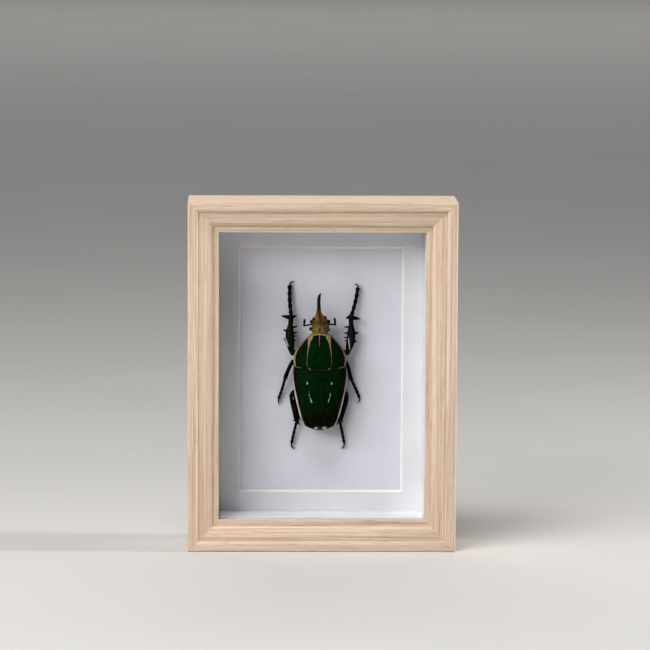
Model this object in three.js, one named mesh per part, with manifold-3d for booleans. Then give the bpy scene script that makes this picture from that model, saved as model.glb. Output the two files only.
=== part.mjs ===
// A horned flower beetle mounted in a small box frame. Millimetres, +Z up, the glass faces -Y,
// and the origin is the middle of the footprint that the frame stands on.
import * as THREE from 'three';
import { mergeVertices } from 'three/addons/utils/BufferGeometryUtils.js';
import Module from 'manifold-3d';

const wasm = await Module();
wasm.setup();

// Sheets of the 13 by 18 cm format that the frame is made for
const SHEET_WIDTH = 130;
const SHEET_HEIGHT = 180;
const FIT_GAP = 0.3;

// Moulding of the four mitred rails: across from the outer side, and back from the front
const WALL_WIDTH = 15.2;
const LIP_REACH = 3.4;
const FRAME_DEPTH = 45;
const ARRIS_RADIUS = 0.8;
const FASCIA_WIDTH = 3.8;
const STEP_WIDTH = 2.5;
const STEP_DEPTH = 1.8;
const OVOLO_START = 6.5;
const OVOLO_END = 15.0;
const LIP_DEPTH = 5.4;
const LIP_RADIUS = 0.4;
const RABBET_DEPTH = 9;
const MITRE_GAP = 0.1;
const ARC_STEPS = 6;

const FRAME_WIDTH = SHEET_WIDTH + 2 * (FIT_GAP + WALL_WIDTH);
const FRAME_HEIGHT = SHEET_HEIGHT + 2 * (FIT_GAP + WALL_WIDTH);
const FRONT_Y = -FRAME_DEPTH / 2;

// Layers behind the lip, from the glass to the back
const GLASS_THICKNESS = 2;
const SPACER_THICKNESS = 3;
const SPACER_DEPTH = 23.6;
const MAT_THICKNESS = 1.4;
const MAT_WINDOW_WIDTH = 97;
const MAT_WINDOW_HEIGHT = 147.7;
const CARD_THICKNESS = 2;
const BOARD_THICKNESS = 3;
const TAB_THICKNESS = 0.6;
const TAB_WIDTH = 7;
const TAB_REACH = 9;
const TAB_SPACING = 90;

const GLASS_FRONT = RABBET_DEPTH + FIT_GAP;
const SPACER_FRONT = GLASS_FRONT + GLASS_THICKNESS + FIT_GAP;
const MAT_FRONT = SPACER_FRONT + SPACER_DEPTH + FIT_GAP;
const CARD_FRONT = MAT_FRONT + MAT_THICKNESS + FIT_GAP;
const BOARD_FRONT = CARD_FRONT + CARD_THICKNESS + FIT_GAP;
const TAB_FRONT = BOARD_FRONT + BOARD_THICKNESS + FIT_GAP;

// Place of the beetle on the card: the middle of its waist, between pronotum and elytra
const BEETLE_X = -1;
const WAIST_Z = 107.6;

// Body sections. Each row is a place along the body from the waist (head end positive), then
// half width, height of the side margin, height of the back and height of the belly over the card.
const PRONOTUM = [
  [-0.4, 15.7, 10.6, 20.2, 4.0],
  [3.9, 16.0, 10.5, 20.5, 3.4],
  [8.3, 15.5, 10.5, 20.0, 3.2],
  [12.2, 13.9, 10.8, 18.8, 3.6],
  [15.9, 11.2, 11.2, 17.3, 4.4],
  [21.8, 6.5, 12.0, 15.2, 7.0],
];
const ELYTRA = [
  [-37.7, 2.2, 9.0, 9.9, 8.4],
  [-36.2, 6.8, 9.0, 12.0, 8.4],
  [-32.6, 10.4, 9.0, 15.6, 8.4],
  [-25.2, 13.2, 9.2, 19.2, 8.6],
  [-17.6, 15.0, 9.4, 20.8, 8.8],
  [-10.2, 16.1, 9.6, 21.2, 9.0],
  [-4.0, 16.5, 9.8, 20.9, 9.2],
  [-1.0, 16.1, 9.8, 20.3, 9.2],
];
const UNDERBODY = [
  [-36.4, 3.0, 6.6, 8.0, 5.2],
  [-33.0, 7.2, 6.4, 8.0, 3.2],
  [-25.2, 11.2, 6.4, 8.2, 1.2],
  [-15.0, 13.2, 6.4, 8.4, 0.5],
  [-6.0, 14.2, 6.6, 8.6, 0.8],
  [-1.6, 13.8, 6.8, 8.7, 2.4],
];
const BODY_SQUARENESS = 0.86;
const WAIST_BOW = 1.7;
const COLLAR_BOW = -1.1;

// Shield between the elytra bases, and the seam where the elytra meet
const SCUTELLUM_HALF_WIDTH = 4;
const SCUTELLUM_START = -1.4;
const SCUTELLUM_TIP = -7.8;
const SCUTELLUM_FLOOR = 15;
const SEAM_GAP = 0.3;

// Head and horn: place along the body, sideways lean, half width, height and half thickness
const HEAD = [
  [22.5, 0, 4.8, 11.6, 3.0],
  [24.6, -0.1, 5.0, 11.7, 3.5],
  [27.4, -0.15, 5.0, 11.9, 3.6],
  [29.6, -0.3, 5.0, 12.2, 3.3],
  [31.2, -0.45, 3.7, 12.7, 2.8],
  [32.6, -0.6, 2.5, 13.2, 2.4],
  [34.8, -0.8, 1.6, 14.2, 2.0],
  [37.5, -0.8, 1.2, 15.3, 1.5],
  [41.6, -0.9, 1.0, 16.6, 1.1],
  [44.8, -0.6, 0.85, 17.2, 0.9],
  [46.7, 0.1, 0.45, 17.3, 0.5],
];
const EYE_RADIUS = 1.1;
const EYE_PLACE = [5.4, 24.2, 11.8];
const LOBE_RADIUS = 1.2;
const LOBE_PLACE = [5.0, 29.0, 12.0];

// Antenna: root at the cheek, elbow, and the leaf club that turns forward
const ANTENNA_ROOT = [4.8, 27.1, 11];
const ANTENNA_ELBOW = [9.5, 26.4, 10.6];
const CLUB_END = [9.1, 30.6, 10.8];
const STALK_RADIUS = 0.42;
const CLUB_RADIUS = 0.6;

// Legs by pair: half widths along the shin, its thickness against its width, and its spines.
// A spine has a place along the shin, a side (1 out, -1 in), a reach from the axis and a root radius.
const FRONT_LEG = {
  thigh: [9.4, 11.2, 7.8],
  thighRadius: 1.8,
  shinWidths: [1.0, 1.9, 2.45, 2.6, 2.55, 2.2, 1.5, 1.45, 1.4],
  flatness: 0.62,
  spines: [
    [0.35, 1, 3.8, 1.2], [0.57, 1, 4.2, 1.2], [0.93, 1, 6.0, 1.5],
    [0.36, -1, 4.2, 0.8], [0.46, -1, 4.3, 0.8], [0.55, -1, 4.4, 0.8],
    [0.73, -1, 4.2, 0.8], [0.95, -1, 3.4, 1.0],
  ],
};
const MIDDLE_LEG = {
  thigh: [10.5, -3.2, 5.0],
  thighRadius: 1.6,
  shinWidths: [0.8, 1.0, 1.15, 1.15, 1.1, 1.15, 1.3, 1.1],
  flatness: 0.8,
  spines: [
    [0.5, 1, 1.9, 0.4], [0.95, 1, 2.4, 0.6], [0.96, -1, 2.1, 0.5],
  ],
};
const HIND_LEG = {
  thigh: [9.5, -12.8, 4.4],
  thighRadius: 2.0,
  shinWidths: [1.1, 1.7, 1.9, 1.9, 1.8, 1.7, 1.7, 1.2],
  flatness: 0.72,
  spines: [
    [0.45, 1, 2.5, 0.5], [0.95, 1, 2.7, 0.6], [0.96, -1, 2.6, 0.6],
  ],
};
// Posed joints of each leg, across, along and above the card
const LEGS = [
  {
    name: 'front_leg_left', side: -1, form: FRONT_LEG,
    knee: [-17.0, 8.5, 6.0], shin: [-18.2, 19.0, 6.2], ankle: [-17.2, 31.9, 4.8],
    sole: [-18.3, 42.0, 3.0], toe: [-18.4, 49.4, 2.2], claw: [-15.9, 52.3, 1.2],
  },
  {
    name: 'front_leg_right', side: 1, form: FRONT_LEG,
    knee: [17.0, 8.6, 6.0], shin: [18.9, 18.0, 6.2], ankle: [18.8, 31.4, 4.8],
    sole: [21.6, 40.2, 3.0], toe: [23.1, 48.4, 2.2], claw: [20.9, 50.5, 1.2],
  },
  {
    name: 'middle_leg_left', side: -1, form: MIDDLE_LEG,
    knee: [-16.5, 4.0, 6.0], shin: [-18.9, -1.2, 5.8], ankle: [-20.9, -6.6, 4.8],
    sole: [-22.6, -13.2, 2.8], toe: [-24.7, -19.6, 1.8], claw: [-24.6, -23.2, 1.0],
  },
  {
    name: 'middle_leg_right', side: 1, form: MIDDLE_LEG,
    knee: [16.2, 3.4, 6.0], shin: [17.8, -1.8, 5.8], ankle: [19.0, -7.2, 4.8],
    sole: [21.8, -13.0, 2.8], toe: [24.3, -18.8, 1.8], claw: [23.6, -22.0, 1.0],
  },
  {
    name: 'hind_leg_left', side: -1, form: HIND_LEG,
    knee: [-17.0, -16.2, 5.6], shin: [-15.1, -24.6, 5.4], ankle: [-13.5, -33.4, 4.2],
    sole: [-15.4, -40.4, 2.6], toe: [-16.8, -46.8, 1.8], claw: [-15.2, -50.8, 1.0],
  },
  {
    name: 'hind_leg_right', side: 1, form: HIND_LEG,
    knee: [16.5, -16.4, 5.6], shin: [14.5, -24.8, 5.4], ankle: [12.2, -33.4, 4.2],
    sole: [13.9, -40.2, 2.6], toe: [15.2, -46.6, 1.8], claw: [13.4, -50.6, 1.0],
  },
];
const HEEL_SHARE = 0.95;
const SHIN_LEAST_THICKNESS = 0.8;
const SPINE_FLATNESS = 0.7;
const TARSUS_SEGMENTS = 5;
const TARSUS_RADIUS = 1.15;
const TARSUS_NECK = 0.75;
const CLAW_RADIUS = 0.45;
const CLAW_SPLAY = 0.4;
const TIP_RADIUS = 0.12;

// Facets: rings along a piece and sides around it
const HEAD_RINGS = 17;
const HEAD_SIDES = 12;
const LIMB_SIDES = 8;
const TARSUS_SIDES = 6;
const SPINE_SIDES = 5;
const PRONOTUM_FACETS = { rings: 13, sides: 26 };
const ELYTRA_FACETS = { rings: 15, sides: 28 };
const UNDERBODY_FACETS = { rings: 10, sides: 20 };

const WOOD = { color: 0xdcc3ad, roughness: 0.6, metalness: 0 };
const CLEAR_GLASS = { color: 0xf2f6f6, roughness: 0.05, metalness: 0, transparent: true, opacity: 0.15 };
const WHITE_BOARD = { color: 0xe6e5e9, roughness: 0.8, metalness: 0 };
const FIBREBOARD = { color: 0x9b7a58, roughness: 0.85, metalness: 0 };
const STEEL = { color: 0xb4b4b2, roughness: 0.35, metalness: 1 };
const GREEN_SHELL = { color: 0x04200d, roughness: 0.25, metalness: 0 };
const TAN_SHELL = { color: 0x9c8150, roughness: 0.5, metalness: 0 };
const BLACK_SHELL = { color: 0x14100c, roughness: 0.35, metalness: 0 };

const model = new THREE.Group();
const beetle = new THREE.Group();
beetle.position.set(BEETLE_X, FRONT_Y + CARD_FRONT, WAIST_Z);
beetle.rotation.x = Math.PI / 2;
model.add(beetle);

function addPiece(group, name, geometry, finish) {
  const piece = new THREE.Mesh(geometry, new THREE.MeshStandardMaterial(finish));
  piece.name = name;
  group.add(piece);
  return piece;
}

function vector(values) {
  return new THREE.Vector3(...values);
}

// Shares the corners of neighbouring faces, so that a geometry is one closed skin
function welded(geometry) {
  geometry.deleteAttribute('normal');
  geometry.deleteAttribute('uv');
  return mergeVertices(geometry);
}

function toSolid(geometry) {
  const skin = welded(geometry);
  const vertProperties = Float32Array.from(skin.attributes.position.array);
  const triVerts = Uint32Array.from(skin.index.array);
  return new wasm.Manifold(new wasm.Mesh({ numProp: 3, vertProperties, triVerts }));
}

function toGeometry(solid) {
  const { vertProperties, triVerts } = solid.getMesh();
  const geometry = new THREE.BufferGeometry();
  geometry.setAttribute('position', new THREE.BufferAttribute(vertProperties, 3));
  geometry.setIndex(new THREE.BufferAttribute(triVerts, 1));
  geometry.computeVertexNormals();
  return geometry;
}

// Frame rails: the moulding is run along one side and mitred at both ends
function mouldingProfile() {
  const stepEnd = FASCIA_WIDTH + STEP_WIDTH;
  const sightEdge = WALL_WIDTH + LIP_REACH;
  const ovoloWidth = OVOLO_END - OVOLO_START;
  const ovoloFall = LIP_DEPTH - STEP_DEPTH;
  const profile = new THREE.Shape();
  profile.moveTo(0, FRAME_DEPTH);
  profile.lineTo(0, ARRIS_RADIUS);
  profile.absarc(ARRIS_RADIUS, ARRIS_RADIUS, ARRIS_RADIUS, Math.PI, 1.5 * Math.PI, false);
  profile.lineTo(FASCIA_WIDTH, 0);
  profile.absellipse(FASCIA_WIDTH, STEP_DEPTH, STEP_WIDTH, STEP_DEPTH, -Math.PI / 2, 0, false);
  profile.lineTo(stepEnd, STEP_DEPTH);
  profile.lineTo(OVOLO_START, STEP_DEPTH);
  profile.absellipse(OVOLO_START, LIP_DEPTH, ovoloWidth, ovoloFall, -Math.PI / 2, 0, false);
  profile.lineTo(sightEdge - LIP_RADIUS, LIP_DEPTH);
  profile.absarc(sightEdge - LIP_RADIUS, LIP_DEPTH + LIP_RADIUS, LIP_RADIUS, -Math.PI / 2, 0, false);
  profile.lineTo(sightEdge, RABBET_DEPTH);
  profile.lineTo(WALL_WIDTH, RABBET_DEPTH);
  profile.lineTo(WALL_WIDTH, FRAME_DEPTH);
  profile.closePath();
  return profile;
}

function mitredRail(length) {
  const rail = new THREE.ExtrudeGeometry(mouldingProfile(), {
    depth: length, bevelEnabled: false, curveSegments: ARC_STEPS,
  });
  const corners = rail.attributes.position;
  for (let i = 0; i < corners.count; i += 1) {
    const setback = corners.getX(i) + MITRE_GAP;
    const atStart = corners.getZ(i) < length / 2;
    corners.setZ(i, atStart ? setback : length - setback);
  }
  rail.translate(0, FRONT_Y, -length / 2);
  rail.rotateY(-Math.PI / 2);
  return welded(rail);
}

function addRails() {
  addPiece(model, 'frame_bottom_rail', mitredRail(FRAME_WIDTH), WOOD);
  const top = addPiece(model, 'frame_top_rail', mitredRail(FRAME_WIDTH), WOOD);
  top.rotation.y = Math.PI;
  top.position.z = FRAME_HEIGHT;
  for (const [name, side] of [['frame_left_stile', -1], ['frame_right_stile', 1]]) {
    const stile = addPiece(model, name, mitredRail(FRAME_HEIGHT), WOOD);
    stile.rotation.y = -side * Math.PI / 2;
    stile.position.set(side * FRAME_WIDTH / 2, 0, FRAME_HEIGHT / 2);
  }
}

// Flat sheets that fill the rabbet
function addSheet(name, front, thickness, finish) {
  const sheet = addPiece(model, name, new THREE.BoxGeometry(SHEET_WIDTH, thickness, SHEET_HEIGHT), finish);
  sheet.position.set(0, FRONT_Y + front + thickness / 2, FRAME_HEIGHT / 2);
}

// White boards on edge that keep the glass away from the mat
function addSpacers() {
  const depthMiddle = FRONT_Y + SPACER_FRONT + SPACER_DEPTH / 2;
  const shortLength = SHEET_WIDTH - 2 * (SPACER_THICKNESS + FIT_GAP);
  const sideX = (SHEET_WIDTH - SPACER_THICKNESS) / 2;
  const endZ = (SHEET_HEIGHT - SPACER_THICKNESS) / 2;
  for (const [name, side] of [['spacer_left', -1], ['spacer_right', 1]]) {
    const board = new THREE.BoxGeometry(SPACER_THICKNESS, SPACER_DEPTH, SHEET_HEIGHT);
    addPiece(model, name, board, WHITE_BOARD).position.set(side * sideX, depthMiddle, FRAME_HEIGHT / 2);
  }
  for (const [name, side] of [['spacer_bottom', -1], ['spacer_top', 1]]) {
    const board = new THREE.BoxGeometry(shortLength, SPACER_DEPTH, SPACER_THICKNESS);
    addPiece(model, name, board, WHITE_BOARD).position.set(0, depthMiddle, FRAME_HEIGHT / 2 + side * endZ);
  }
}

function rectanglePoints(width, height) {
  const x = width / 2;
  const y = height / 2;
  return [[-x, -y], [x, -y], [x, y], [-x, y]].map(([px, py]) => new THREE.Vector2(px, py));
}

// Mat board with a window whose edges are cut at 45 degrees, widest at the front
function addMat() {
  const outline = new THREE.Shape(rectanglePoints(SHEET_WIDTH, SHEET_HEIGHT));
  outline.holes.push(new THREE.Path(rectanglePoints(MAT_WINDOW_WIDTH, MAT_WINDOW_HEIGHT)));
  const mat = new THREE.ExtrudeGeometry(outline, { depth: MAT_THICKNESS, bevelEnabled: false });
  const corners = mat.attributes.position;
  for (let i = 0; i < corners.count; i += 1) {
    const x = corners.getX(i);
    const y = corners.getY(i);
    const onWindow = Math.abs(x) < SHEET_WIDTH / 2 - MAT_THICKNESS;
    const onFront = corners.getZ(i) > MAT_THICKNESS / 2;
    if (onWindow && onFront) {
      corners.setXY(i, x + Math.sign(x) * MAT_THICKNESS, y + Math.sign(y) * MAT_THICKNESS);
    }
  }
  mat.rotateX(Math.PI / 2);
  const piece = addPiece(model, 'mat_board', welded(mat), WHITE_BOARD);
  piece.position.set(0, FRONT_Y + MAT_FRONT + MAT_THICKNESS, FRAME_HEIGHT / 2);
}

// Soft steel points, bent over the back board to hold the layers in
function addTabs() {
  const half = TAB_WIDTH / 2;
  const outline = new THREE.Shape();
  outline.moveTo(0, -half);
  outline.lineTo(TAB_REACH - half, -half);
  outline.absarc(TAB_REACH - half, 0, half, -Math.PI / 2, Math.PI / 2, false);
  outline.lineTo(0, half);
  outline.closePath();
  const sideX = SHEET_WIDTH / 2;
  const endZ = SHEET_HEIGHT / 2;
  const spread = TAB_SPACING / 2;
  const places = [
    ['tab_left_upper', -sideX, spread, 0], ['tab_left_lower', -sideX, -spread, 0],
    ['tab_right_upper', sideX, spread, Math.PI], ['tab_right_lower', sideX, -spread, Math.PI],
    ['tab_top', 0, endZ, -Math.PI / 2], ['tab_bottom', 0, -endZ, Math.PI / 2],
  ];
  for (const [name, x, z, turn] of places) {
    const tab = new THREE.ExtrudeGeometry(outline, {
      depth: TAB_THICKNESS, bevelEnabled: false, curveSegments: ARC_STEPS,
    });
    tab.rotateZ(turn);
    tab.rotateX(Math.PI / 2);
    const piece = addPiece(model, name, welded(tab), STEEL);
    piece.position.set(x, FRONT_Y + TAB_FRONT + TAB_THICKNESS, FRAME_HEIGHT / 2 + z);
  }
}

function middleOf(ring) {
  const sum = new THREE.Vector3();
  ring.forEach((point) => sum.add(point));
  return sum.divideScalar(ring.length);
}

// Skin over rings of points that follow each other, with a fan over each end
function loft(rings) {
  const sides = rings[0].length;
  const last = rings.length - 1;
  const points = rings.flat();
  const startCentre = points.push(middleOf(rings[0])) - 1;
  const endCentre = points.push(middleOf(rings[last])) - 1;
  const faces = [];
  for (let j = 0; j < sides; j += 1) {
    const next = (j + 1) % sides;
    for (let i = 0; i < last; i += 1) {
      const near = i * sides;
      const far = near + sides;
      faces.push(near + j, far + j, near + next);
      faces.push(near + next, far + j, far + next);
    }
    faces.push(startCentre, j, next);
    faces.push(endCentre, last * sides + next, last * sides + j);
  }
  const geometry = new THREE.BufferGeometry().setFromPoints(points);
  geometry.setIndex(faces);
  return geometry;
}

// Smooth curve through one column of a table of sections
function through(sections, column) {
  const places = sections.map((section) => section[0]);
  const values = sections.map((section) => section[column]);
  const curve = new THREE.CubicInterpolant(places, values, 1);
  return (place) => curve.evaluate(place)[0];
}

// Places along a table of sections, closer together towards both ends
function spacedPlaces(sections, count) {
  const start = sections[0][0];
  const end = sections[sections.length - 1][0];
  return Array.from({ length: count }, (_, k) => {
    const eased = (1 - Math.cos((Math.PI * k) / (count - 1))) / 2;
    return THREE.MathUtils.lerp(start, end, eased);
  });
}

function rounded(value, power) {
  return Math.sign(value) * Math.abs(value) ** power;
}

// Body shell from its table of sections, grown by a clearance where another piece is cut by it.
// The bows bend its two end faces forward or back at the sides.
function bodyShell(sections, { rings, sides, startBow = 0, endBow = 0, grown = 0 }) {
  const [halfWidth, margin, back, belly] = [1, 2, 3, 4].map((column) => through(sections, column));
  const places = spacedPlaces(sections, rings);
  const span = places[rings - 1] - places[0];
  return toSolid(loft(places.map((place) => {
    const share = (place - places[0]) / span;
    const bow = THREE.MathUtils.lerp(startBow, endBow, share);
    const stretch = THREE.MathUtils.lerp(-grown, grown, share);
    const width = halfWidth(place) + grown;
    const rise = back(place) - margin(place) + grown;
    const fall = margin(place) - belly(place) + grown;
    return Array.from({ length: sides }, (_, j) => {
      const turn = (2 * Math.PI * j) / sides;
      const across = rounded(Math.cos(turn), BODY_SQUARENESS);
      const up = rounded(Math.sin(turn), BODY_SQUARENESS);
      const lift = up > 0 ? rise * up : fall * up;
      return new THREE.Vector3(width * across, place + stretch + bow * across ** 2, margin(place) + lift);
    });
  })));
}

// Round or flattened limb through stations of place, half width and half thickness
function limb(stations, sides) {
  const places = stations.map(({ place }) => place);
  return loft(stations.map(({ place, wide, thick }, i) => {
    const before = places[Math.max(i - 1, 0)];
    const after = places[Math.min(i + 1, places.length - 1)];
    const along = after.clone().sub(before).normalize();
    const up = new THREE.Vector3(0, 0, 1).projectOnPlane(along).normalize();
    const across = along.clone().cross(up);
    return Array.from({ length: sides }, (_, j) => {
      const turn = (2 * Math.PI * j) / sides;
      return place.clone()
        .addScaledVector(across, wide * Math.cos(turn))
        .addScaledVector(up, thick * Math.sin(turn));
    });
  }));
}

function roundLimb(points, radii, sides) {
  return toSolid(limb(points.map((place, i) => ({ place, wide: radii[i], thick: radii[i] })), sides));
}

function ball(place, radius) {
  const geometry = new THREE.SphereGeometry(radius, 8, 6);
  geometry.translate(...place);
  return toSolid(geometry);
}

function mirrored([x, y, z], side) {
  return [side * x, y, z];
}

function headSolid(grown) {
  const [lean, halfWidth, height, halfThickness] = [1, 2, 3, 4].map((column) => through(HEAD, column));
  const stations = spacedPlaces(HEAD, HEAD_RINGS).map((place) => ({
    place: new THREE.Vector3(lean(place), place, height(place)),
    wide: halfWidth(place) + grown,
    thick: halfThickness(place) + grown,
  }));
  let head = toSolid(limb(stations, HEAD_SIDES));
  for (const side of [-1, 1]) {
    head = head.add(ball(mirrored(EYE_PLACE, side), EYE_RADIUS + grown));
    head = head.add(ball(mirrored(LOBE_PLACE, side), LOBE_RADIUS + grown));
  }
  return head;
}

function antenna(side) {
  const root = vector(mirrored(ANTENNA_ROOT, side));
  const elbow = vector(mirrored(ANTENNA_ELBOW, side));
  const end = vector(mirrored(CLUB_END, side));
  const stalk = roundLimb(
    [root, root.clone().lerp(elbow, 0.5), elbow, elbow.clone().lerp(end, 0.35)],
    [STALK_RADIUS, STALK_RADIUS, STALK_RADIUS * 1.3, STALK_RADIUS],
    TARSUS_SIDES,
  );
  const club = roundLimb(
    [0.25, 0.45, 0.75, 1].map((share) => elbow.clone().lerp(end, share)),
    [STALK_RADIUS, CLUB_RADIUS, CLUB_RADIUS, STALK_RADIUS],
    TARSUS_SIDES,
  );
  return stalk.add(club);
}

function scutellumPrism(grown) {
  const slope = SCUTELLUM_HALF_WIDTH / (SCUTELLUM_START - SCUTELLUM_TIP);
  const start = SCUTELLUM_START + 3 * grown;
  const tip = SCUTELLUM_TIP - 2 * grown;
  const halfWidth = slope * (start - tip);
  const outline = new THREE.Shape([
    new THREE.Vector2(-halfWidth, start), new THREE.Vector2(0, tip), new THREE.Vector2(halfWidth, start),
  ]);
  const prism = new THREE.ExtrudeGeometry(outline, { depth: SCUTELLUM_FLOOR, bevelEnabled: false });
  prism.translate(0, 0, SCUTELLUM_FLOOR - grown);
  return toSolid(prism);
}

// All that lies on one side of the seam
function seamSide(side) {
  const reach = 2 * SHEET_WIDTH;
  const block = new THREE.BoxGeometry(reach, reach, reach);
  block.translate(side * (reach / 2 + SEAM_GAP / 2), 0, 0);
  return toSolid(block);
}

// Flattened tooth from the middle of the shin to a point beside it
function spine(root, tip, rootRadius) {
  return toSolid(limb([
    { place: root, wide: rootRadius, thick: rootRadius * SPINE_FLATNESS },
    { place: tip, wide: TIP_RADIUS, thick: TIP_RADIUS },
  ], SPINE_SIDES));
}

// Five beads in a row, each swelling towards its far end
function tarsus(path) {
  const points = [];
  const radii = [];
  for (let segment = 0; segment < TARSUS_SEGMENTS; segment += 1) {
    for (const [share, radius] of [[0.05, TARSUS_NECK], [0.7, TARSUS_RADIUS], [0.92, TARSUS_RADIUS]]) {
      points.push(path.getPoint((segment + share) / TARSUS_SEGMENTS));
      radii.push(radius);
    }
  }
  return roundLimb(points, radii, TARSUS_SIDES);
}

// Pair of hooked claws, one above the other
function claws(path, toe, tip) {
  const onward = path.getTangent(1).multiplyScalar(toe.distanceTo(tip) * 0.75);
  const radii = [1, 1, 0.85, 0.6, 0.3].map((share) => share * CLAW_RADIUS);
  const hooks = [-1, 1].map((level) => {
    const splay = new THREE.Vector3(0, 0, level * CLAW_SPLAY);
    const bend = toe.clone().add(onward).add(splay);
    const hook = new THREE.QuadraticBezierCurve3(path.getPoint(0.97), bend, tip.clone().add(splay));
    return roundLimb(hook.getPoints(4), radii, SPINE_SIDES);
  });
  return hooks[0].add(hooks[1]);
}

function legSolid({ side, form, knee, shin, ankle, sole, toe, claw }) {
  const kneePlace = vector(knee);
  const hip = vector(mirrored(form.thigh, side));
  const shinPath = new THREE.CatmullRomCurve3([kneePlace, vector(shin), vector(ankle)]);
  const heel = shinPath.getPointAt(HEEL_SHARE);
  const footPath = new THREE.CatmullRomCurve3([heel, vector(sole), vector(toe)]);

  const thighPoints = [0, 0.4, 0.8, 1.08].map((share) => hip.clone().lerp(kneePlace, share));
  const thighRadii = [0.9, 1.05, 0.9, 0.5].map((share) => share * form.thighRadius);
  let leg = roundLimb(thighPoints, thighRadii, LIMB_SIDES);

  const steps = form.shinWidths.length - 1;
  const shinStations = form.shinWidths.map((wide, i) => ({
    place: shinPath.getPointAt(i / steps), wide, thick: Math.max(wide * form.flatness, SHIN_LEAST_THICKNESS),
  }));
  leg = leg.add(toSolid(limb(shinStations, LIMB_SIDES)));
  for (const [share, direction, reach, rootRadius] of form.spines) {
    const along = shinPath.getTangentAt(share);
    const outward = new THREE.Vector3(0, 0, 1).cross(along).normalize();
    outward.multiplyScalar(Math.sign(outward.x) * side * direction);
    const root = shinPath.getPointAt(share);
    const tip = root.clone().addScaledVector(outward, reach).addScaledVector(along, rootRadius);
    leg = leg.add(spine(root, tip, rootRadius));
  }
  return leg.add(tarsus(footPath)).add(claws(footPath, vector(toe), vector(claw)));
}

function addBeetle() {
  const pronotumForm = { ...PRONOTUM_FACETS, startBow: WAIST_BOW, endBow: COLLAR_BOW };
  const elytraForm = { ...ELYTRA_FACETS, endBow: WAIST_BOW };
  const underbodyForm = { ...UNDERBODY_FACETS, endBow: WAIST_BOW };
  const wingCases = bodyShell(ELYTRA, elytraForm);
  const shieldHole = scutellumPrism(FIT_GAP);

  addPiece(beetle, 'pronotum', toGeometry(bodyShell(PRONOTUM, pronotumForm)), GREEN_SHELL);
  addPiece(beetle, 'scutellum', toGeometry(wingCases.intersect(scutellumPrism(0))), GREEN_SHELL);
  for (const [name, side] of [['elytron_left', -1], ['elytron_right', 1]]) {
    const elytron = wingCases.intersect(seamSide(side)).subtract(shieldHole);
    addPiece(beetle, name, toGeometry(elytron), GREEN_SHELL);
  }
  addPiece(beetle, 'underbody', toGeometry(bodyShell(UNDERBODY, underbodyForm)), BLACK_SHELL);
  addPiece(beetle, 'head', toGeometry(headSolid(0)), TAN_SHELL);

  const headRoom = headSolid(FIT_GAP);
  for (const [name, side] of [['antenna_left', -1], ['antenna_right', 1]]) {
    addPiece(beetle, name, toGeometry(antenna(side).subtract(headRoom)), BLACK_SHELL);
  }

  const bodyRoom = [[PRONOTUM, pronotumForm], [ELYTRA, elytraForm], [UNDERBODY, underbodyForm]]
    .map(([sections, form]) => bodyShell(sections, { ...form, grown: FIT_GAP }));
  for (const leg of LEGS) {
    const solid = bodyRoom.reduce((rest, room) => rest.subtract(room), legSolid(leg));
    addPiece(beetle, leg.name, toGeometry(solid), BLACK_SHELL);
  }
}

addRails();
addSheet('glass_pane', GLASS_FRONT, GLASS_THICKNESS, CLEAR_GLASS);
addSpacers();
addMat();
addSheet('backing_card', CARD_FRONT, CARD_THICKNESS, WHITE_BOARD);
addSheet('back_board', BOARD_FRONT, BOARD_THICKNESS, FIBREBOARD);
addTabs();
addBeetle();

export default model;
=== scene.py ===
# A horned flower beetle, mounted on white card behind glass in a small box frame of pale wood.
import math

import bmesh
import bpy
import numpy as np
from mathutils import Matrix, Vector


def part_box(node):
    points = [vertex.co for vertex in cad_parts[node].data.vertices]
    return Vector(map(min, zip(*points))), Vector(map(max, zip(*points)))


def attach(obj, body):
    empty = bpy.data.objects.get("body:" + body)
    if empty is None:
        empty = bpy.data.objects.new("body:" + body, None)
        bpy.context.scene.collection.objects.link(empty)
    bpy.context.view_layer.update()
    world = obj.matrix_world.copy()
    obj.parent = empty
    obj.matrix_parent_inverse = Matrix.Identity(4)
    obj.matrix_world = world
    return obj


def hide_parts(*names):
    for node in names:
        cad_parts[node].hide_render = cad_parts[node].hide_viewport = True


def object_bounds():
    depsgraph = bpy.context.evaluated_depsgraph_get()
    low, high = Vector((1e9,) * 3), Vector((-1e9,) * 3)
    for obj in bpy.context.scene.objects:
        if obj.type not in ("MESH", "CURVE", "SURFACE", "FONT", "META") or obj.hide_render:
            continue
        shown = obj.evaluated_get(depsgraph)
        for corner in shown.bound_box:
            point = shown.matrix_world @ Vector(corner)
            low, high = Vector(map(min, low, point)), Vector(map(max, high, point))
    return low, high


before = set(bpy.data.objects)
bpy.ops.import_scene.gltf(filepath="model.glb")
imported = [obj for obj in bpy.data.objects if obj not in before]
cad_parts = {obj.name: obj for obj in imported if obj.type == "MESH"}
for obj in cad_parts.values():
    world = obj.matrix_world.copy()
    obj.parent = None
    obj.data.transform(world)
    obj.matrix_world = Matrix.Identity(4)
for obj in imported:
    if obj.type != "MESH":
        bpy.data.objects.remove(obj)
cad_low, cad_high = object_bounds()
MM = 0.001

# Camera: about two metres in front of the glass, a little to the left and above the frame,
# with a long lens that looks slightly down on it.
PHOTO_SIDE_PX = 650
FOCAL_LENGTH_PX = 3500
SENSOR_SIDE = 36
CAMERA_PLACE = Vector((-45.6, -2092.6, 403.3)) * MM
CAMERA_YAW = 0.0227
CAMERA_PITCH = -0.1276
CAMERA_ROLL = 0.0049

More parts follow.
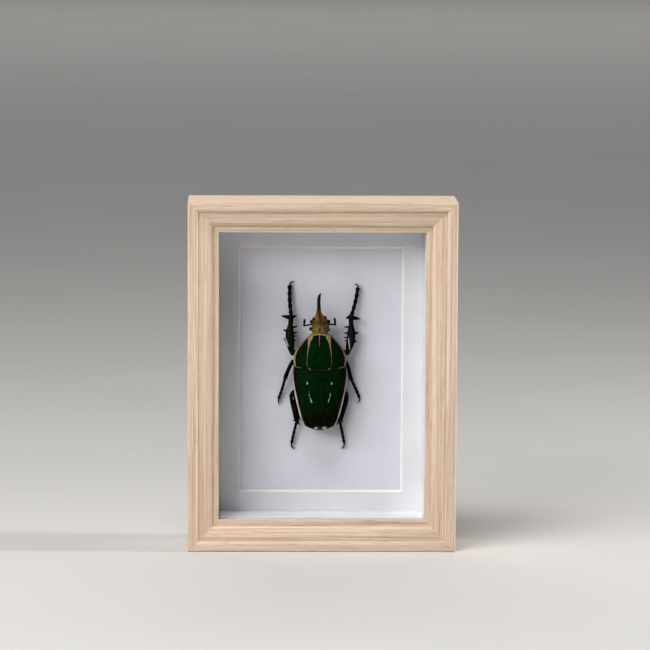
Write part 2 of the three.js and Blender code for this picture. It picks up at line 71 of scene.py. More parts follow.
camera_lens = bpy.data.cameras.new("camera")
camera_lens.sensor_width = SENSOR_SIDE
camera_lens.lens = FOCAL_LENGTH_PX / PHOTO_SIDE_PX * SENSOR_SIDE
camera = bpy.data.objects.new("camera", camera_lens)
camera.matrix_world = (
    Matrix.Translation(CAMERA_PLACE)
    @ Matrix.Rotation(-CAMERA_YAW, 4, "Z")
    @ Matrix.Rotation(math.pi / 2 + CAMERA_PITCH, 4, "X")
    @ Matrix.Rotation(CAMERA_ROLL, 4, "Z")
)
bpy.context.collection.objects.link(camera)
bpy.context.scene.camera = camera
bpy.context.scene.view_settings.view_transform = "Standard"
bpy.context.scene.view_settings.look = "Medium High Contrast"

# Studio: a wide pale floor of matt paint, a soft box from the upper left that throws the shadows inside
# the case, one overhead, a strip from the right that catches the moulding, a wide one behind and a dim sky.
FLOOR_SIDE = 60
FLOOR_PAINT = "#c6c4c1"
FLOOR_PAINT_WORN = "#c4c2bf"
FLOOR_MOTTLE = 180 * MM
SKY = "#f4f3f6"
SKY_STRENGTH = 0.03
FRAME_MIDDLE = (cad_low + cad_high) / 2


def linear(colour):
    """Linear colour of an sRGB hex value."""
    channels = [int(colour[i:i + 2], 16) / 255 for i in (1, 3, 5)]
    return [c / 12.92 if c <= 0.04045 else ((c + 0.055) / 1.055) ** 2.4 for c in channels] + [1]


def add(tree, kind, inputs=None, stops=None, **settings):
    """Adds a node with its settings, inputs and colour stops. An input may be a node, for its first output in
    use, a socket, a hex colour or a plain value."""
    node = tree.nodes.new("ShaderNode" + kind)
    for name, value in settings.items():
        setattr(node, name, value)
    for key, value in (inputs or {}).items():
        if isinstance(value, bpy.types.Node):
            value = next(socket for socket in value.outputs if socket.enabled)
        if isinstance(value, bpy.types.NodeSocket):
            tree.links.new(value, node.inputs[key])
        else:
            node.inputs[key].default_value = linear(value) if isinstance(value, str) else value
    if stops:
        ramp = node.color_ramp.elements
        while len(ramp) < len(stops):
            ramp.new(1)
        for element, (position, colour) in zip(ramp, stops):
            element.position = position
            element.color = linear(colour)
    return node


def new_material(name):
    """Material with an empty node tree, and the place of a point on the object in metres."""
    made = bpy.data.materials.new(name)
    made.use_nodes = True
    tree = made.node_tree
    tree.nodes.clear()
    return made, tree, add(tree, "TexCoord").outputs["Object"]


def mesh_piece(name, points, faces, finish, crease=50):
    """Object from points in metres and faces, turned outward and smooth up to the crease angle."""
    mesh = bpy.data.meshes.new(name)
    mesh.from_pydata(points, [], faces)
    skin = bmesh.new()
    skin.from_mesh(mesh)
    bmesh.ops.recalc_face_normals(skin, faces=skin.faces)
    skin.to_mesh(mesh)
    skin.free()
    mesh.shade_smooth()
    mesh.set_sharp_from_angle(angle=math.radians(crease))
    mesh.materials.append(finish)
    piece = bpy.data.objects.new(name, mesh)
    bpy.context.collection.objects.link(piece)
    return piece


# Matt emulsion on a floor: even, with a broad mottle that is barely seen
floor_paint, tree, place = new_material("matt_emulsion_rolled")
mottle = add(tree, "TexNoise", {"Vector": place, "Scale": 1 / FLOOR_MOTTLE, "Detail": 3})
paint_tone = add(tree, "ValToRGB", {"Fac": mottle}, stops=[(0.35, FLOOR_PAINT_WORN), (0.65, FLOOR_PAINT)])
painted = add(tree, "BsdfPrincipled", {"Base Color": paint_tone, "Roughness": 0.85})
add(tree, "OutputMaterial", {"Surface": painted})

floor_corners = [(x * FLOOR_SIDE / 2, y * FLOOR_SIDE / 2, 0) for x, y in ((-1, -1), (1, -1), (1, 1), (-1, 1))]
floor = mesh_piece("floor", floor_corners, [(0, 1, 2, 3)], floor_paint)

sky = bpy.data.worlds.new("dim_sky")
sky.use_nodes = True
sky.node_tree.nodes["Background"].inputs["Color"].default_value = linear(SKY)
sky.node_tree.nodes["Background"].inputs["Strength"].default_value = SKY_STRENGTH
bpy.context.scene.world = sky

# Soft boxes: degrees to the right of the frame's front and above it, distance, sides and power
SOFT_BOXES = [
    ("key_box", -45, 28, 1.6, (1.4, 0.7), 19),
    ("overhead_box", -25, 66, 1.8, (0.8, 0.5), 13.5),
    ("strip_box", 87.2, 7, 1.3, (0.08, 0.9), 19),
    ("back_box", 180, 33, 11, (16, 6), 470),
]
for name, azimuth, elevation, distance, sides, power in SOFT_BOXES:
    lamp = bpy.data.lights.new(name, "AREA")
    lamp.shape = "RECTANGLE"
    lamp.size, lamp.size_y = sides
    lamp.energy = power
    box = bpy.data.objects.new(name, lamp)
    turn, lift = math.radians(azimuth), math.radians(elevation)
    toward_box = Vector((math.sin(turn) * math.cos(lift), -math.cos(turn) * math.cos(lift), math.sin(lift)))
    box.location = FRAME_MIDDLE + distance * toward_box
    box.rotation_euler = (-toward_box).to_track_quat("-Z", "Y").to_euler()
    bpy.context.collection.objects.link(box)

# Frame: four lengths of pale ash moulding with a flat outer fillet, a small step and an ovolo that falls
# to a thin lip. Milled, sanded, left almost bare, then mitred and glued at the corners.
ARRIS_RADIUS = 0.8
FASCIA_WIDTH = 3.8
STEP_WIDTH = 2.5
STEP_DEPTH = 1.8
OVOLO_START = 6.5
OVOLO_END = 15.0
LIP_DEPTH = 5.4
LIP_RADIUS = 0.4
RABBET_DEPTH = 9
WALL_WIDTH = 15.2
SIGHT_EDGE = 18.6
QUIRK_WIDTH = 0.25
QUIRK_DEPTH = 0.15
MITRE_GAP = 0.02
ARC_STEPS = 14
RAIL_STATIONS = 24
frame_size = (cad_high - cad_low) / MM

# Grain of straight-grown ash: sizes across and along. Fibres and pores are drawn coarser than life so that
# they show.
GROWTH_BAND = (1.15, 90)
FIBRE = (0.6, 24)
PORE = (0.55, 12)
BOARD_TONE = (7, 240)
ASH_EARLY = "#c3a491"
ASH_MIDDLE = "#cdb89f"
ASH_LATE = "#dac4b4"
ASH_PALE = "#e0d1bc"
ASH_PORE = "#9f8873"


def quarter(middle, radii, start):
    """Quarter ellipse of a moulding profile, from a start angle in quarter turns."""
    turn = (start + np.linspace(0, 1, ARC_STEPS)) * math.pi / 2
    return np.column_stack((middle[0] + radii[0] * np.cos(turn), middle[1] + radii[1] * np.sin(turn)))


def moulding_profile():
    """Section of the moulding: across from the outer side, and back from the front."""
    depth = frame_size.y
    return np.vstack((
        [(0, depth)],
        quarter((ARRIS_RADIUS, ARRIS_RADIUS), (ARRIS_RADIUS, ARRIS_RADIUS), 2),
        quarter((FASCIA_WIDTH, STEP_DEPTH), (STEP_WIDTH, STEP_DEPTH), 3),
        [(OVOLO_START - QUIRK_WIDTH / 4, STEP_DEPTH + QUIRK_DEPTH)],
        quarter((OVOLO_START + QUIRK_WIDTH / 2, LIP_DEPTH),
                (OVOLO_END - OVOLO_START - QUIRK_WIDTH / 2, LIP_DEPTH - STEP_DEPTH), 3),
        quarter((SIGHT_EDGE - LIP_RADIUS, LIP_DEPTH + LIP_RADIUS), (LIP_RADIUS, LIP_RADIUS), 3),
        [(SIGHT_EDGE, RABBET_DEPTH), (WALL_WIDTH, RABBET_DEPTH), (WALL_WIDTH, depth)],
    ))


def ash_wood(name, along_x, seed):
    """Bare sanded ash: a silky, pale ground with darker growth bands and short open pores."""
    finish, tree, place = new_material(name)

    def stretched(size, shift):
        across, along = (1 / (length * MM) for length in size)
        scale = (along, across, across) if along_x else (across, across, along)
        offset = (seed * 3.1 + shift, seed * 1.7, seed * 2.3 - shift)
        return add(tree, "Mapping", {"Vector": place, "Scale": scale, "Location": offset})

    bands = add(tree, "TexNoise", {"Vector": stretched(GROWTH_BAND, 0), "Scale": 1, "Detail": 4,
                                   "Roughness": 0.7, "Distortion": 0.4})
    ground = add(tree, "ValToRGB", {"Fac": bands},
                 stops=[(0.38, ASH_EARLY), (0.46, ASH_MIDDLE), (0.54, ASH_LATE), (0.64, ASH_PALE)])
    tone = add(tree, "TexNoise", {"Vector": stretched(BOARD_TONE, 7), "Scale": 1, "Detail": 2})
    tone_share = add(tree, "MapRange", {"Value": tone, "From Min": 0.35, "From Max": 0.7, "To Max": 0.35})
    toned = add(tree, "Mix", {0: tone_share, 6: ground, 7: ASH_MIDDLE}, data_type="RGBA")
    fibres = add(tree, "TexNoise", {"Vector": stretched(FIBRE, 13), "Scale": 1, "Detail": 2,
                                    "Roughness": 0.7})
    fibre_share = add(tree, "MapRange", {"Value": fibres, "From Min": 0.42, "From Max": 0.75, "To Max": 0.45})
    fibred = add(tree, "Mix", {0: fibre_share, 6: toned, 7: ASH_EARLY}, data_type="RGBA")
    pores = add(tree, "TexNoise", {"Vector": stretched(PORE, 29), "Scale": 1, "Detail": 1})
    pore_share = add(tree, "MapRange", {"Value": pores, "From Min": 0.6, "From Max": 0.76, "To Max": 0.55})
    colour = add(tree, "Mix", {0: pore_share, 6: fibred, 7: ASH_PORE}, data_type="RGBA")
    gloss = add(tree, "MapRange", {"Value": bands, "From Min": 0.3, "From Max": 0.7,
                                   "To Min": 0.62, "To Max": 0.48})
    relief = add(tree, "Math", {0: fibres, 1: pore_share}, operation="SUBTRACT")
    bump = add(tree, "Bump", {"Height": relief, "Strength": 0.35, "Distance": 0.15 * MM})
    wood = add(tree, "BsdfPrincipled", {"Base Color": colour, "Roughness": gloss, "Normal": bump,
                                        "Specular IOR Level": 0.35})
    add(tree, "OutputMaterial", {"Surface": wood})
    return finish


def place_on_root(piece, node):
    """Fixes a piece to the one body, in place of a node."""
    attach(piece, "root")
    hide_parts(node)


def rail(name, along_x, far_side, seed):
    """One mitred length of moulding. Its far side is the top of the frame, or the right."""
    profile = moulding_profile()
    length = frame_size.x if along_x else frame_size.z
    reach = (length / 2 - MITRE_GAP - profile[:, 0])[None, :]
    run = np.linspace(-1, 1, RAIL_STATIONS)[:, None] * reach
    across = np.broadcast_to(profile[:, 0], run.shape)
    if far_side:
        across = (frame_size.z if along_x else frame_size.x) - across
    back = np.broadcast_to(profile[:, 1], run.shape) * MM + cad_low.y
    if along_x:
        x, z = run, across
    else:
        x, z = across - frame_size.x / 2, run + length / 2
    points = np.stack((x * MM, back, z * MM), axis=-1).reshape(-1, 3)
    sides = len(profile)
    faces = [list(range(sides)), list(range(len(points) - sides, len(points)))]
    for ring in range(RAIL_STATIONS - 1):
        for side in range(sides):
            near, far = ring * sides, (ring + 1) * sides
            onward = (side + 1) % sides
            faces.append((near + side, near + onward, far + onward, far + side))
    piece = mesh_piece(name, points, faces, ash_wood("ash_sanded_" + name, along_x, seed), crease=35)
    place_on_root(piece, name)


rail("frame_bottom_rail", True, False, 1)
rail("frame_top_rail", True, True, 2)
rail("frame_left_stile", False, False, 3)
rail("frame_right_stile", False, True, 4)

# Pane: one sheet of picture glass with a thin coating against reflections, cut to the rabbet and laid in
# behind the lip, so that the case looks open from the front and mirrors only at a slant.
COATED_INDEX = 1.04
PANE_ARRIS = 0.2 * MM
GLASS_TINT = "#fdfdfd"
SMEAR = 35 * MM


def dress(node, finish, arris):
    """Gives a node of the frame its material and slightly rounded edges."""
    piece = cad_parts[node]
    piece.data.materials.clear()
    piece.data.materials.append(finish)
    edge = piece.modifiers.new("arris", "BEVEL")
    edge.width = arris
    edge.segments = 2
    edge.angle_limit = math.radians(40)


# Float glass, polished: clear, with a faint wiped smear that only softens the mirror
pane_glass, tree, place = new_material("float_glass_coated")
smear = add(tree, "TexNoise", {"Vector": place, "Scale": 1 / SMEAR, "Detail": 3})
polish = add(tree, "MapRange", {"Value": smear, "To Min": 0.01, "To Max": 0.06})
mirror = add(tree, "BsdfGlossy", {"Roughness": polish})
clear = add(tree, "BsdfTransparent", {"Color": GLASS_TINT})
slant = add(tree, "Fresnel", {"IOR": COATED_INDEX})
pane_mix = add(tree, "MixShader", {0: slant, 1: clear, 2: mirror})
add(tree, "OutputMaterial", {"Surface": pane_mix})
dress("glass_pane", pane_glass, PANE_ARRIS)

# Spacers, mat and backing: white boards. The spacers stand on edge between glass and mat, the mat's window
# is cut at 45 degrees and shows its paler core, and the beetle is fixed to the card behind it.
SPACER_ARRIS = 0.25 * MM
PAPER_ARRIS = 0.05 * MM
BOARD_CLOUD = 28 * MM
# Fibres of the pulp, drawn coarser than life so that they show
BOARD_FIBRE = 0.5 * MM
SPACER_WHITES = ("#e2e2e5", "#ebebee")
MAT_WHITES = ("#dcdce0", "#e3e3e6")
MAT_CORE = "#e9e7e3"
CARD_WHITES = ("#d9d8e1", "#e0dfe8")


def paper_board(name, whites, core=None):
    """Calendered white board: matt, with a fine fibre tooth and a soft cloudiness from the pulp."""
    finish, tree, place = new_material(name)
    cloud = add(tree, "TexNoise", {"Vector": place, "Scale": 1 / BOARD_CLOUD, "Detail": 4})
    colour = add(tree, "ValToRGB", {"Fac": cloud}, stops=[(0.35, whites[0]), (0.65, whites[1])])
    fibre = add(tree, "TexNoise", {"Vector": place, "Scale": 1 / BOARD_FIBRE, "Detail": 4, "Roughness": 0.65})
    if core:
        facing = add(tree, "SeparateXYZ", {"Vector": add(tree, "NewGeometry").outputs["True Normal"]})
        flat = add(tree, "Math", {0: facing.outputs["Y"]}, operation="ABSOLUTE")
        cut = add(tree, "MapRange", {"Value": flat, "From Min": 0.95, "From Max": 0.8})
        colour = add(tree, "Mix", {0: cut, 6: colour, 7: core}, data_type="RGBA")
    rough = add(tree, "MapRange", {"Value": fibre, "To Min": 0.75, "To Max": 0.92})
    bump = add(tree, "Bump", {"Height": fibre, "Strength": 0.12, "Distance": 0.05 * MM})
    board = add(tree, "BsdfPrincipled", {"Base Color": colour, "Roughness": rough, "Normal": bump,
                                         "Specular IOR Level": 0.25})
    add(tree, "OutputMaterial", {"Surface": board})
    return finish


spacer_board = paper_board("foam_board_faced", SPACER_WHITES)
for edge_name in ("left", "right", "top", "bottom"):
    dress("spacer_" + edge_name, spacer_board, SPACER_ARRIS)
dress("mat_board", paper_board("mat_board_cut", MAT_WHITES, MAT_CORE), PAPER_ARRIS)
dress("backing_card", paper_board("pulp_card_calendered", CARD_WHITES), PAPER_ARRIS)

# Back board: a sheet of hardboard pressed from brown wood fibre, dropped in behind the card, with its
# meshed rough side outward.
HARDBOARD_FIBRE = 1.2 * MM
HARDBOARD_MESH = 1.8 * MM
HARDBOARD_TONES = ("#6d5138", "#8a6a4a", "#a2825e")
HARDBOARD_ARRIS = 0.3 * MM
# Scale at which the wave pattern has one crest to a metre
WAVE_SCALE = 0.31

# Hardboard, wet pressed on a wire mesh: dull brown felt of fibres with a woven imprint
hardboard, tree, place = new_material("hardboard_pressed")
felt = add(tree, "TexNoise", {"Vector": place, "Scale": 1 / HARDBOARD_FIBRE, "Detail": 6, "Roughness": 0.7,
                              "Distortion": 1.2})
felt_tone = add(tree, "ValToRGB", {"Fac": felt}, stops=list(zip((0.3, 0.5, 0.7), HARDBOARD_TONES)))
wires = [add(tree, "TexWave", {"Vector": place, "Scale": WAVE_SCALE / HARDBOARD_MESH, "Distortion": 0.3},
             bands_direction=direction) for direction in ("X", "Z")]
woven = add(tree, "Math", {0: wires[0].outputs["Fac"], 1: wires[1].outputs["Fac"]}, operation="MULTIPLY")
felted = add(tree, "Math", {0: woven, 1: felt}, operation="ADD")
felt_bump = add(tree, "Bump", {"Height": felted, "Strength": 0.5, "Distance": 0.2 * MM})
felt_rough = add(tree, "MapRange", {"Value": felt, "To Min": 0.8, "To Max": 0.95})
pressed = add(tree, "BsdfPrincipled", {"Base Color": felt_tone, "Roughness": felt_rough,
                                       "Normal": felt_bump, "Specular IOR Level": 0.2})
add(tree, "OutputMaterial", {"Surface": pressed})
dress("back_board", hardboard, HARDBOARD_ARRIS)

# Points: six tabs of soft rolled steel. Each is pressed into the wood of the rabbet and bent over the back
# board, and together they hold the layers in.
TAB_ARRIS = 0.15 * MM
# Lines left by the rolls, drawn coarser than life so that they show: sizes across and along
ROLLING_LINE = (0.25 * MM, 6 * MM)
STEEL_BRIGHT = "#b9b9b6"
STEEL_DULL = "#8f8f8d"

# Mild steel, cold rolled: grey and satin, with fine rolling lines and dull patches
rolled_steel, tree, place = new_material("mild_steel_rolled")
line_scale = [1 / ROLLING_LINE[side] for side in (0, 0, 1)]
rolling_place = add(tree, "Mapping", {"Vector": place, "Scale": line_scale})
rolling = add(tree, "TexNoise", {"Vector": rolling_place, "Scale": 1, "Detail": 3})
steel_tone = add(tree, "ValToRGB", {"Fac": rolling}, stops=[(0.35, STEEL_DULL), (0.6, STEEL_BRIGHT)])
steel_rough = add(tree, "MapRange", {"Value": rolling, "To Min": 0.5, "To Max": 0.28})
steel = add(tree, "BsdfPrincipled", {"Base Color": steel_tone, "Metallic": 1, "Roughness": steel_rough})
add(tree, "OutputMaterial", {"Surface": steel})
for tab in ("left_upper", "left_lower", "right_upper", "right_lower", "top", "bottom"):
    dress("tab_" + tab, rolled_steel, TAB_ARRIS)

# Underbody: the beetle's breast and belly, one hard black shell of rings grown together, set on the card.
# From here the beetle is measured in millimetres across (right positive), along (head positive, from
# the waist between pronotum and elytra) and up from the card.
BEETLE_X = -1.0
WAIST_Z = 107.6
CARD_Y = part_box("backing_card")[0].y / MM
BODY_SQUARENESS = 0.86
WAIST_BOW = 1.7
BELLY_RINGS = 5
BELLY_GROOVE = 0.25
BELLY_GROOVE_SHARE = 0.06
BELLY_TOP = 6
BELLY_ROLL = 0.5
BELLY_MESH = (90, 72)
# Place along, half width, height of the side margin, of the back and of the belly
UNDERBODY = [
    (-36.4, 3.0, 6.6, 8.0, 5.2), (-33.0, 7.2, 6.4, 8.0, 3.2), (-25.2, 11.2, 6.4, 8.2, 1.2),
    (-15.0, 13.2, 6.4, 8.4, 0.5), (-6.0, 14.2, 6.6, 8.6, 0.8), (-1.6, 13.8, 6.8, 8.7, 2.4),
]
CHITIN_BLACK = "#080708"
CHITIN_BROWN = "#1d130c"
# Pits of the shell, drawn coarser than life so that they show
CHITIN_PIT = 0.22 * MM
CHITIN_PATCH = 3.5 * MM


def on_card(points):
    """Places on the beetle as metres in the frame."""
    across, along, up = np.moveaxis(np.asarray(points, dtype=float), -1, 0)
    return np.stack((across + BEETLE_X, CARD_Y - up, along + WAIST_Z), axis=-1).reshape(-1, 3) * MM


def through(places, values, at):
    """Smooth curve through a few values at rising places."""
    places, values = np.asarray(places, dtype=float), np.asarray(values, dtype=float)
    slopes = np.gradient(values, places)
    k = np.clip(np.searchsorted(places, at) - 1, 0, len(places) - 2)
    span = places[k + 1] - places[k]
    t = (at - places[k]) / span
    near = values[k] * (1 + 2 * t) + slopes[k] * span * t
    far = values[k + 1] * (3 - 2 * t) + slopes[k + 1] * span * (t - 1)
    return near * (1 - t) ** 2 + far * t ** 2


def columns(table, at):
    """Every column of a table of sections as a smooth curve, read at the given places."""
    table = np.array(table)
    return [through(table[:, 0], column, at) for column in table.T[1:]]


def eased(start, end, count):
    """Places between two ends, closer together near both."""
    return start + (end - start) * (1 - np.cos(np.linspace(0, math.pi, count))) / 2


def rounded(value):
    """Squares up a round section a little. The sign stays."""
    return np.sign(value) * np.abs(value) ** BODY_SQUARENESS


def body_shell(table, mesh, start_bow, end_bow, roll):
    """Rings of a body shell from its sections, with both end edges rolled in."""
    rings, turns = mesh
    place = eased(table[0][0], table[-1][0], rings)
    width, margin, back, belly = columns(table, place)
    from_end = np.minimum(place - place[0], place[-1] - place)
    inset = roll - np.sqrt(np.clip(roll ** 2 - np.clip(roll - from_end, 0, None) ** 2, 0, None))
    bow = start_bow + (end_bow - start_bow) * (place - place[0]) / (place[-1] - place[0])
    turn = np.linspace(0, 2 * math.pi, turns, endpoint=False)
    across, up = rounded(np.cos(turn)), rounded(np.sin(turn))
    lift = np.where(up > 0, np.outer(back - margin - inset, up), np.outer(margin - belly - inset, up))
    along = place[:, None] + np.outer(bow, across ** 2)
    return np.stack((np.outer(width - inset, across), along, margin[:, None] + lift), axis=-1)


def ring_faces(rings, turns):
    """Faces of a skin over closed rings that follow each other, with a lid on each end."""
    index = np.arange(rings * turns).reshape(rings, turns)
    onward = np.roll(index, -1, axis=1)
    quads = np.stack((index[:-1], onward[:-1], onward[1:], index[1:]), axis=-1).reshape(-1, 4)
    return quads.tolist() + [index[0].tolist(), index[-1].tolist()]


def black_chitin(name, patches=()):
    """Bare insect shell: hard, nearly black, with a dull gloss, fine pits and a brown cast in patches."""
    finish, tree, place = new_material(name)
    patch = add(tree, "TexNoise", {"Vector": place, "Scale": 1 / CHITIN_PATCH, "Detail": 3})
    colour = add(tree, "ValToRGB", {"Fac": patch}, stops=[(0.45, CHITIN_BLACK), (0.8, CHITIN_BROWN)])
    pits = add(tree, "TexVoronoi", {"Vector": place, "Scale": 1 / CHITIN_PIT})
    pit_depth = add(tree, "MapRange", {"Value": pits, "From Max": 0.4})
    # Patches from attributes: on the legs, a painted sheen in green and painted highlights in pale
    for field, patch_colour in patches:
        mark = add(tree, "Attribute", attribute_name=field)
        scuffed = add(tree, "Math", {0: mark.outputs["Fac"], 1: patch}, operation="ADD")
        share = add(tree, "MapRange", {"Value": scuffed, "From Min": 0.85, "From Max": 1.35})
        colour = add(tree, "Mix", {0: share, 6: colour, 7: patch_colour}, data_type="RGBA")
    gloss = add(tree, "MapRange", {"Value": patch, "To Min": 0.25, "To Max": 0.45})
    bump = add(tree, "Bump", {"Height": pit_depth, "Strength": 0.25, "Distance": 0.05 * MM})
    shell = add(tree, "BsdfPrincipled", {"Base Color": colour, "Roughness": gloss, "Normal": bump,
                                         "Specular IOR Level": 0.09})
    add(tree, "OutputMaterial", {"Surface": shell})
    return finish


belly = body_shell(UNDERBODY, BELLY_MESH, 0, WAIST_BOW, BELLY_ROLL)
ring_phase = (belly[..., 1] - UNDERBODY[0][0]) / (UNDERBODY[-1][0] - UNDERBODY[0][0]) * BELLY_RINGS
groove = np.exp(-((ring_phase - np.round(ring_phase)) / BELLY_GROOVE_SHARE) ** 2)
belly[..., 2] += BELLY_GROOVE * groove * (belly[..., 2] < BELLY_TOP)
belly_chitin = black_chitin("chitin_bare_belly")
underbody = mesh_piece("underbody", on_card(belly), ring_faces(*BELLY_MESH), belly_chitin)
place_on_root(underbody, "underbody")

# Pronotum: the domed shield over the beetle's breast. One grown shell of chitin under a velvet of minute
# scales, dark green with cream side borders, two stripes, a short middle line and a tan front edge.
COLLAR_BOW = -1.1
PRONOTUM_MESH = (190, 260)
SHELL_ROLL = 0.6
# Bead and groove along the side: distance from the side, spread and height
SIDE_RIM = [(0.5, 0.35, 0.3), (1.5, 0.6, -0.22)]
RIM_UNDERSIDE = 0.8
PRONOTUM = [
    (-0.15, 15.7, 10.6, 20.2, 4.0), (3.9, 16.0, 10.5, 20.5, 3.4), (8.3, 15.5, 10.5, 20.0, 3.2),
    (12.2, 13.9, 10.8, 18.8, 3.6), (15.9, 11.2, 11.2, 17.3, 4.4), (21.8, 6.5, 12.0, 15.2, 7.0),
]
# The marks grew a little left of the body's middle. They are strokes of scales, alike on both sides:
# across from their own middle, along and half width.
MARK_MIDDLE = -0.45
PRONOTUM_STRIPE = [(5.4, 21.0, 1.6), (5.55, 19.6, 1.5), (6.1, 17.4, 0.85), (6.42, 14.9, 0.42),
                   (6.9, 12.2, 0.24), (7.2, 9.6, 0.17), (7.35, 6.9, 0.15), (7.45, 3.0, 0.12)]
PRONOTUM_DASH = [(6.7, 1.8, 0.22), (5.4, 0.5, 0.3)]
PRONOTUM_LINE = [(0, 21.6, 0.16), (0, 17.5, 0.14), (0, 14.4, 0.04)]
PRONOTUM_HOOK = [(14.9, 1.6, 0.45), (12.9, 1.5, 0.25), (10.9, 1.4, 0.08)]
PRONOTUM_COLLAR = [(0, 21.9, 0.6), (4.5, 21.1, 0.7)]
PRONOTUM_REAR = [(0, 0.12, 0.0), (5.2, 0.3, 0.0)]
# The cream border: place along and width seen from above. It starts a little above the side margin.
BORDER_WIDTHS = [(0, 1.3), (4, 1.15), (11, 0.85), (17, 0.5), (22, 0.35)]
BORDER_RISE = 1.0
UNMARKED = -2
# Painted shade, darker toward the sides and more so toward the front: start, gain along, run and most
SIDE_PAINTED_SHADE = (12, 0.35, 6, 0.85)
VELVET_GREEN = "#032b0c"
VELVET_DEEP = "#021506"
VELVET_BROWN = "#14110b"
SCALE_CREAM = "#9c9076"
SCALE_CREAM_DARK = "#747052"
SCALE_TAN = "#8c7a50"
SCALE_WHITE = "#c6cec0"
# Single scales, drawn coarser than life so that they show
SCALE_GRAIN = 0.3 * MM
SCALE_CLOUD = 2.2 * MM


def stroke(across, along, stations):
    """How far inside a stroke each point lies, in millimetres. Points outside it are negative."""
    inside = np.full(across.shape, -100.0)
    for (x0, y0, w0), (x1, y1, w1) in zip(stations, stations[1:]):
        dx, dy = x1 - x0, y1 - y0
        t = np.clip(((across - x0) * dx + (along - y0) * dy) / (dx * dx + dy * dy), 0, 1)
        gap = np.hypot(across - x0 - t * dx, along - y0 - t * dy)
        inside = np.maximum(inside, w0 + (w1 - w0) * t - gap)
    return inside


def paint(piece, **fields):
    """Stores a value for each point of a piece under each name, for its material to read."""
    for name, values in fields.items():
        piece.data.attributes.new(name, "FLOAT", "POINT").data.foreach_set(
            "value", np.asarray(values, dtype=np.float32).ravel())


def velvet_shell(name, green, cream, cream_dark):
    """Scaled chitin: a deep velvet green that hardly shines, dusty where the pale scales lie."""
    finish, tree, place = new_material(name)
    grain = add(tree, "TexNoise", {"Vector": place, "Scale": 1 / SCALE_GRAIN, "Detail": 3, "Roughness": 0.6})
    cloud = add(tree, "TexNoise", {"Vector": place, "Scale": 1 / SCALE_CLOUD, "Detail": 4, "Roughness": 0.6})
    dusk, mark, white, tan = (add(tree, "Attribute", attribute_name=field).outputs["Fac"]
                              for field in ("dusk", "mark", "white", "tan"))
    ground = add(tree, "ValToRGB", {"Fac": cloud}, stops=[(0.3, VELVET_DEEP), (0.58, green)])
    # Painted shade: the green turns brown toward the shell's sides and tip; on the scutellum the same field
    # is its real dark bloom
    darker = add(tree, "Mix", {0: dusk, 6: ground, 7: VELVET_BROWN}, data_type="RGBA")
    border = add(tree, "MapRange", {"Value": mark, "From Min": -1.1, "From Max": -0.2})
    bordered = add(tree, "Mix", {0: border, 6: darker, 7: VELVET_BROWN}, data_type="RGBA")
    dusty = add(tree, "ValToRGB", {"Fac": cloud}, stops=[(0.35, cream_dark), (0.6, cream)])
    tanned = add(tree, "Mix", {0: tan, 6: dusty, 7: SCALE_TAN}, data_type="RGBA")
    scales = add(tree, "Mix", {0: white, 6: tanned, 7: SCALE_WHITE}, data_type="RGBA")
    ragged = add(tree, "MapRange", {"Value": grain, "From Min": 0.25, "From Max": 0.75,
                                    "To Min": -0.3, "To Max": 0.3})
    edge = add(tree, "Math", {0: mark, 1: ragged}, operation="ADD")
    covered = add(tree, "MapRange", {"Value": edge, "From Min": -0.15, "From Max": 0.2})
    colour = add(tree, "Mix", {0: covered, 6: bordered, 7: scales}, data_type="RGBA")
    rough = add(tree, "MapRange", {"Value": grain, "To Min": 0.4, "To Max": 0.65})
    bump = add(tree, "Bump", {"Height": grain, "Strength": 0.3, "Distance": 0.06 * MM})
    shell = add(tree, "BsdfPrincipled", {"Base Color": colour, "Roughness": rough, "Normal": bump,
                                         "Specular IOR Level": 0.02})
    add(tree, "OutputMaterial", {"Surface": shell})
    return finish


dome = body_shell(PRONOTUM, PRONOTUM_MESH, WAIST_BOW, COLLAR_BOW, SHELL_ROLL)
along = dome[..., 1]
from_middle = np.abs(dome[..., 0] - MARK_MIDDLE)
place_along = eased(PRONOTUM[0][0], PRONOTUM[-1][0], PRONOTUM_MESH[0])
half_width, margin_height = (column[:, None] for column in columns(PRONOTUM, place_along)[:2])
from_side = half_width - np.abs(dome[..., 0])
above = dome[..., 2] > margin_height - RIM_UNDERSIDE
for distance, spread, height in SIDE_RIM:
    dome[..., 2] += height * np.exp(-((from_side - distance) / spread) ** 2) * above
border_width = np.interp(along, *np.array(BORDER_WIDTHS).T)
border = np.minimum(border_width - from_side, dome[..., 2] - margin_height - BORDER_RISE)
middle_line = stroke(from_middle, along, PRONOTUM_LINE)
collar = stroke(from_middle, along, PRONOTUM_COLLAR)
side_marks = [stroke(from_middle, along, mark)
              for mark in (PRONOTUM_STRIPE, PRONOTUM_DASH, PRONOTUM_HOOK, PRONOTUM_REAR)]
pronotum_mark = np.where(above, np.maximum.reduce([border, middle_line, collar, *side_marks]), UNMARKED)
pronotum_velvet = velvet_shell("chitin_scaled_green", VELVET_GREEN, SCALE_CREAM, SCALE_CREAM_DARK)
pronotum = mesh_piece("pronotum", on_card(dome), ring_faces(*PRONOTUM_MESH), pronotum_velvet)
# Tan in the fronts of the two stripes and on the collar
tan_front = np.clip((along - 16) / 4, 0, 1) * np.clip((from_middle - 4) / 1.5, 0, 1)
tan_front *= np.clip((8 - from_middle) / 2, 0, 1)
# Painted shade: darker toward the sides, more so toward the front
dusk_start, dusk_gain, dusk_run, dusk_most = SIDE_PAINTED_SHADE
paint(pronotum, mark=pronotum_mark, white=np.clip(middle_line + 0.6, 0, 0.5),
      tan=np.clip(tan_front + 2 * np.clip(collar + 0.3, 0, 0.5), 0, 1),
      dusk=np.clip((from_middle - dusk_start + dusk_gain * along) / dusk_run, 0, dusk_most))
place_on_root(pronotum, "pronotum")

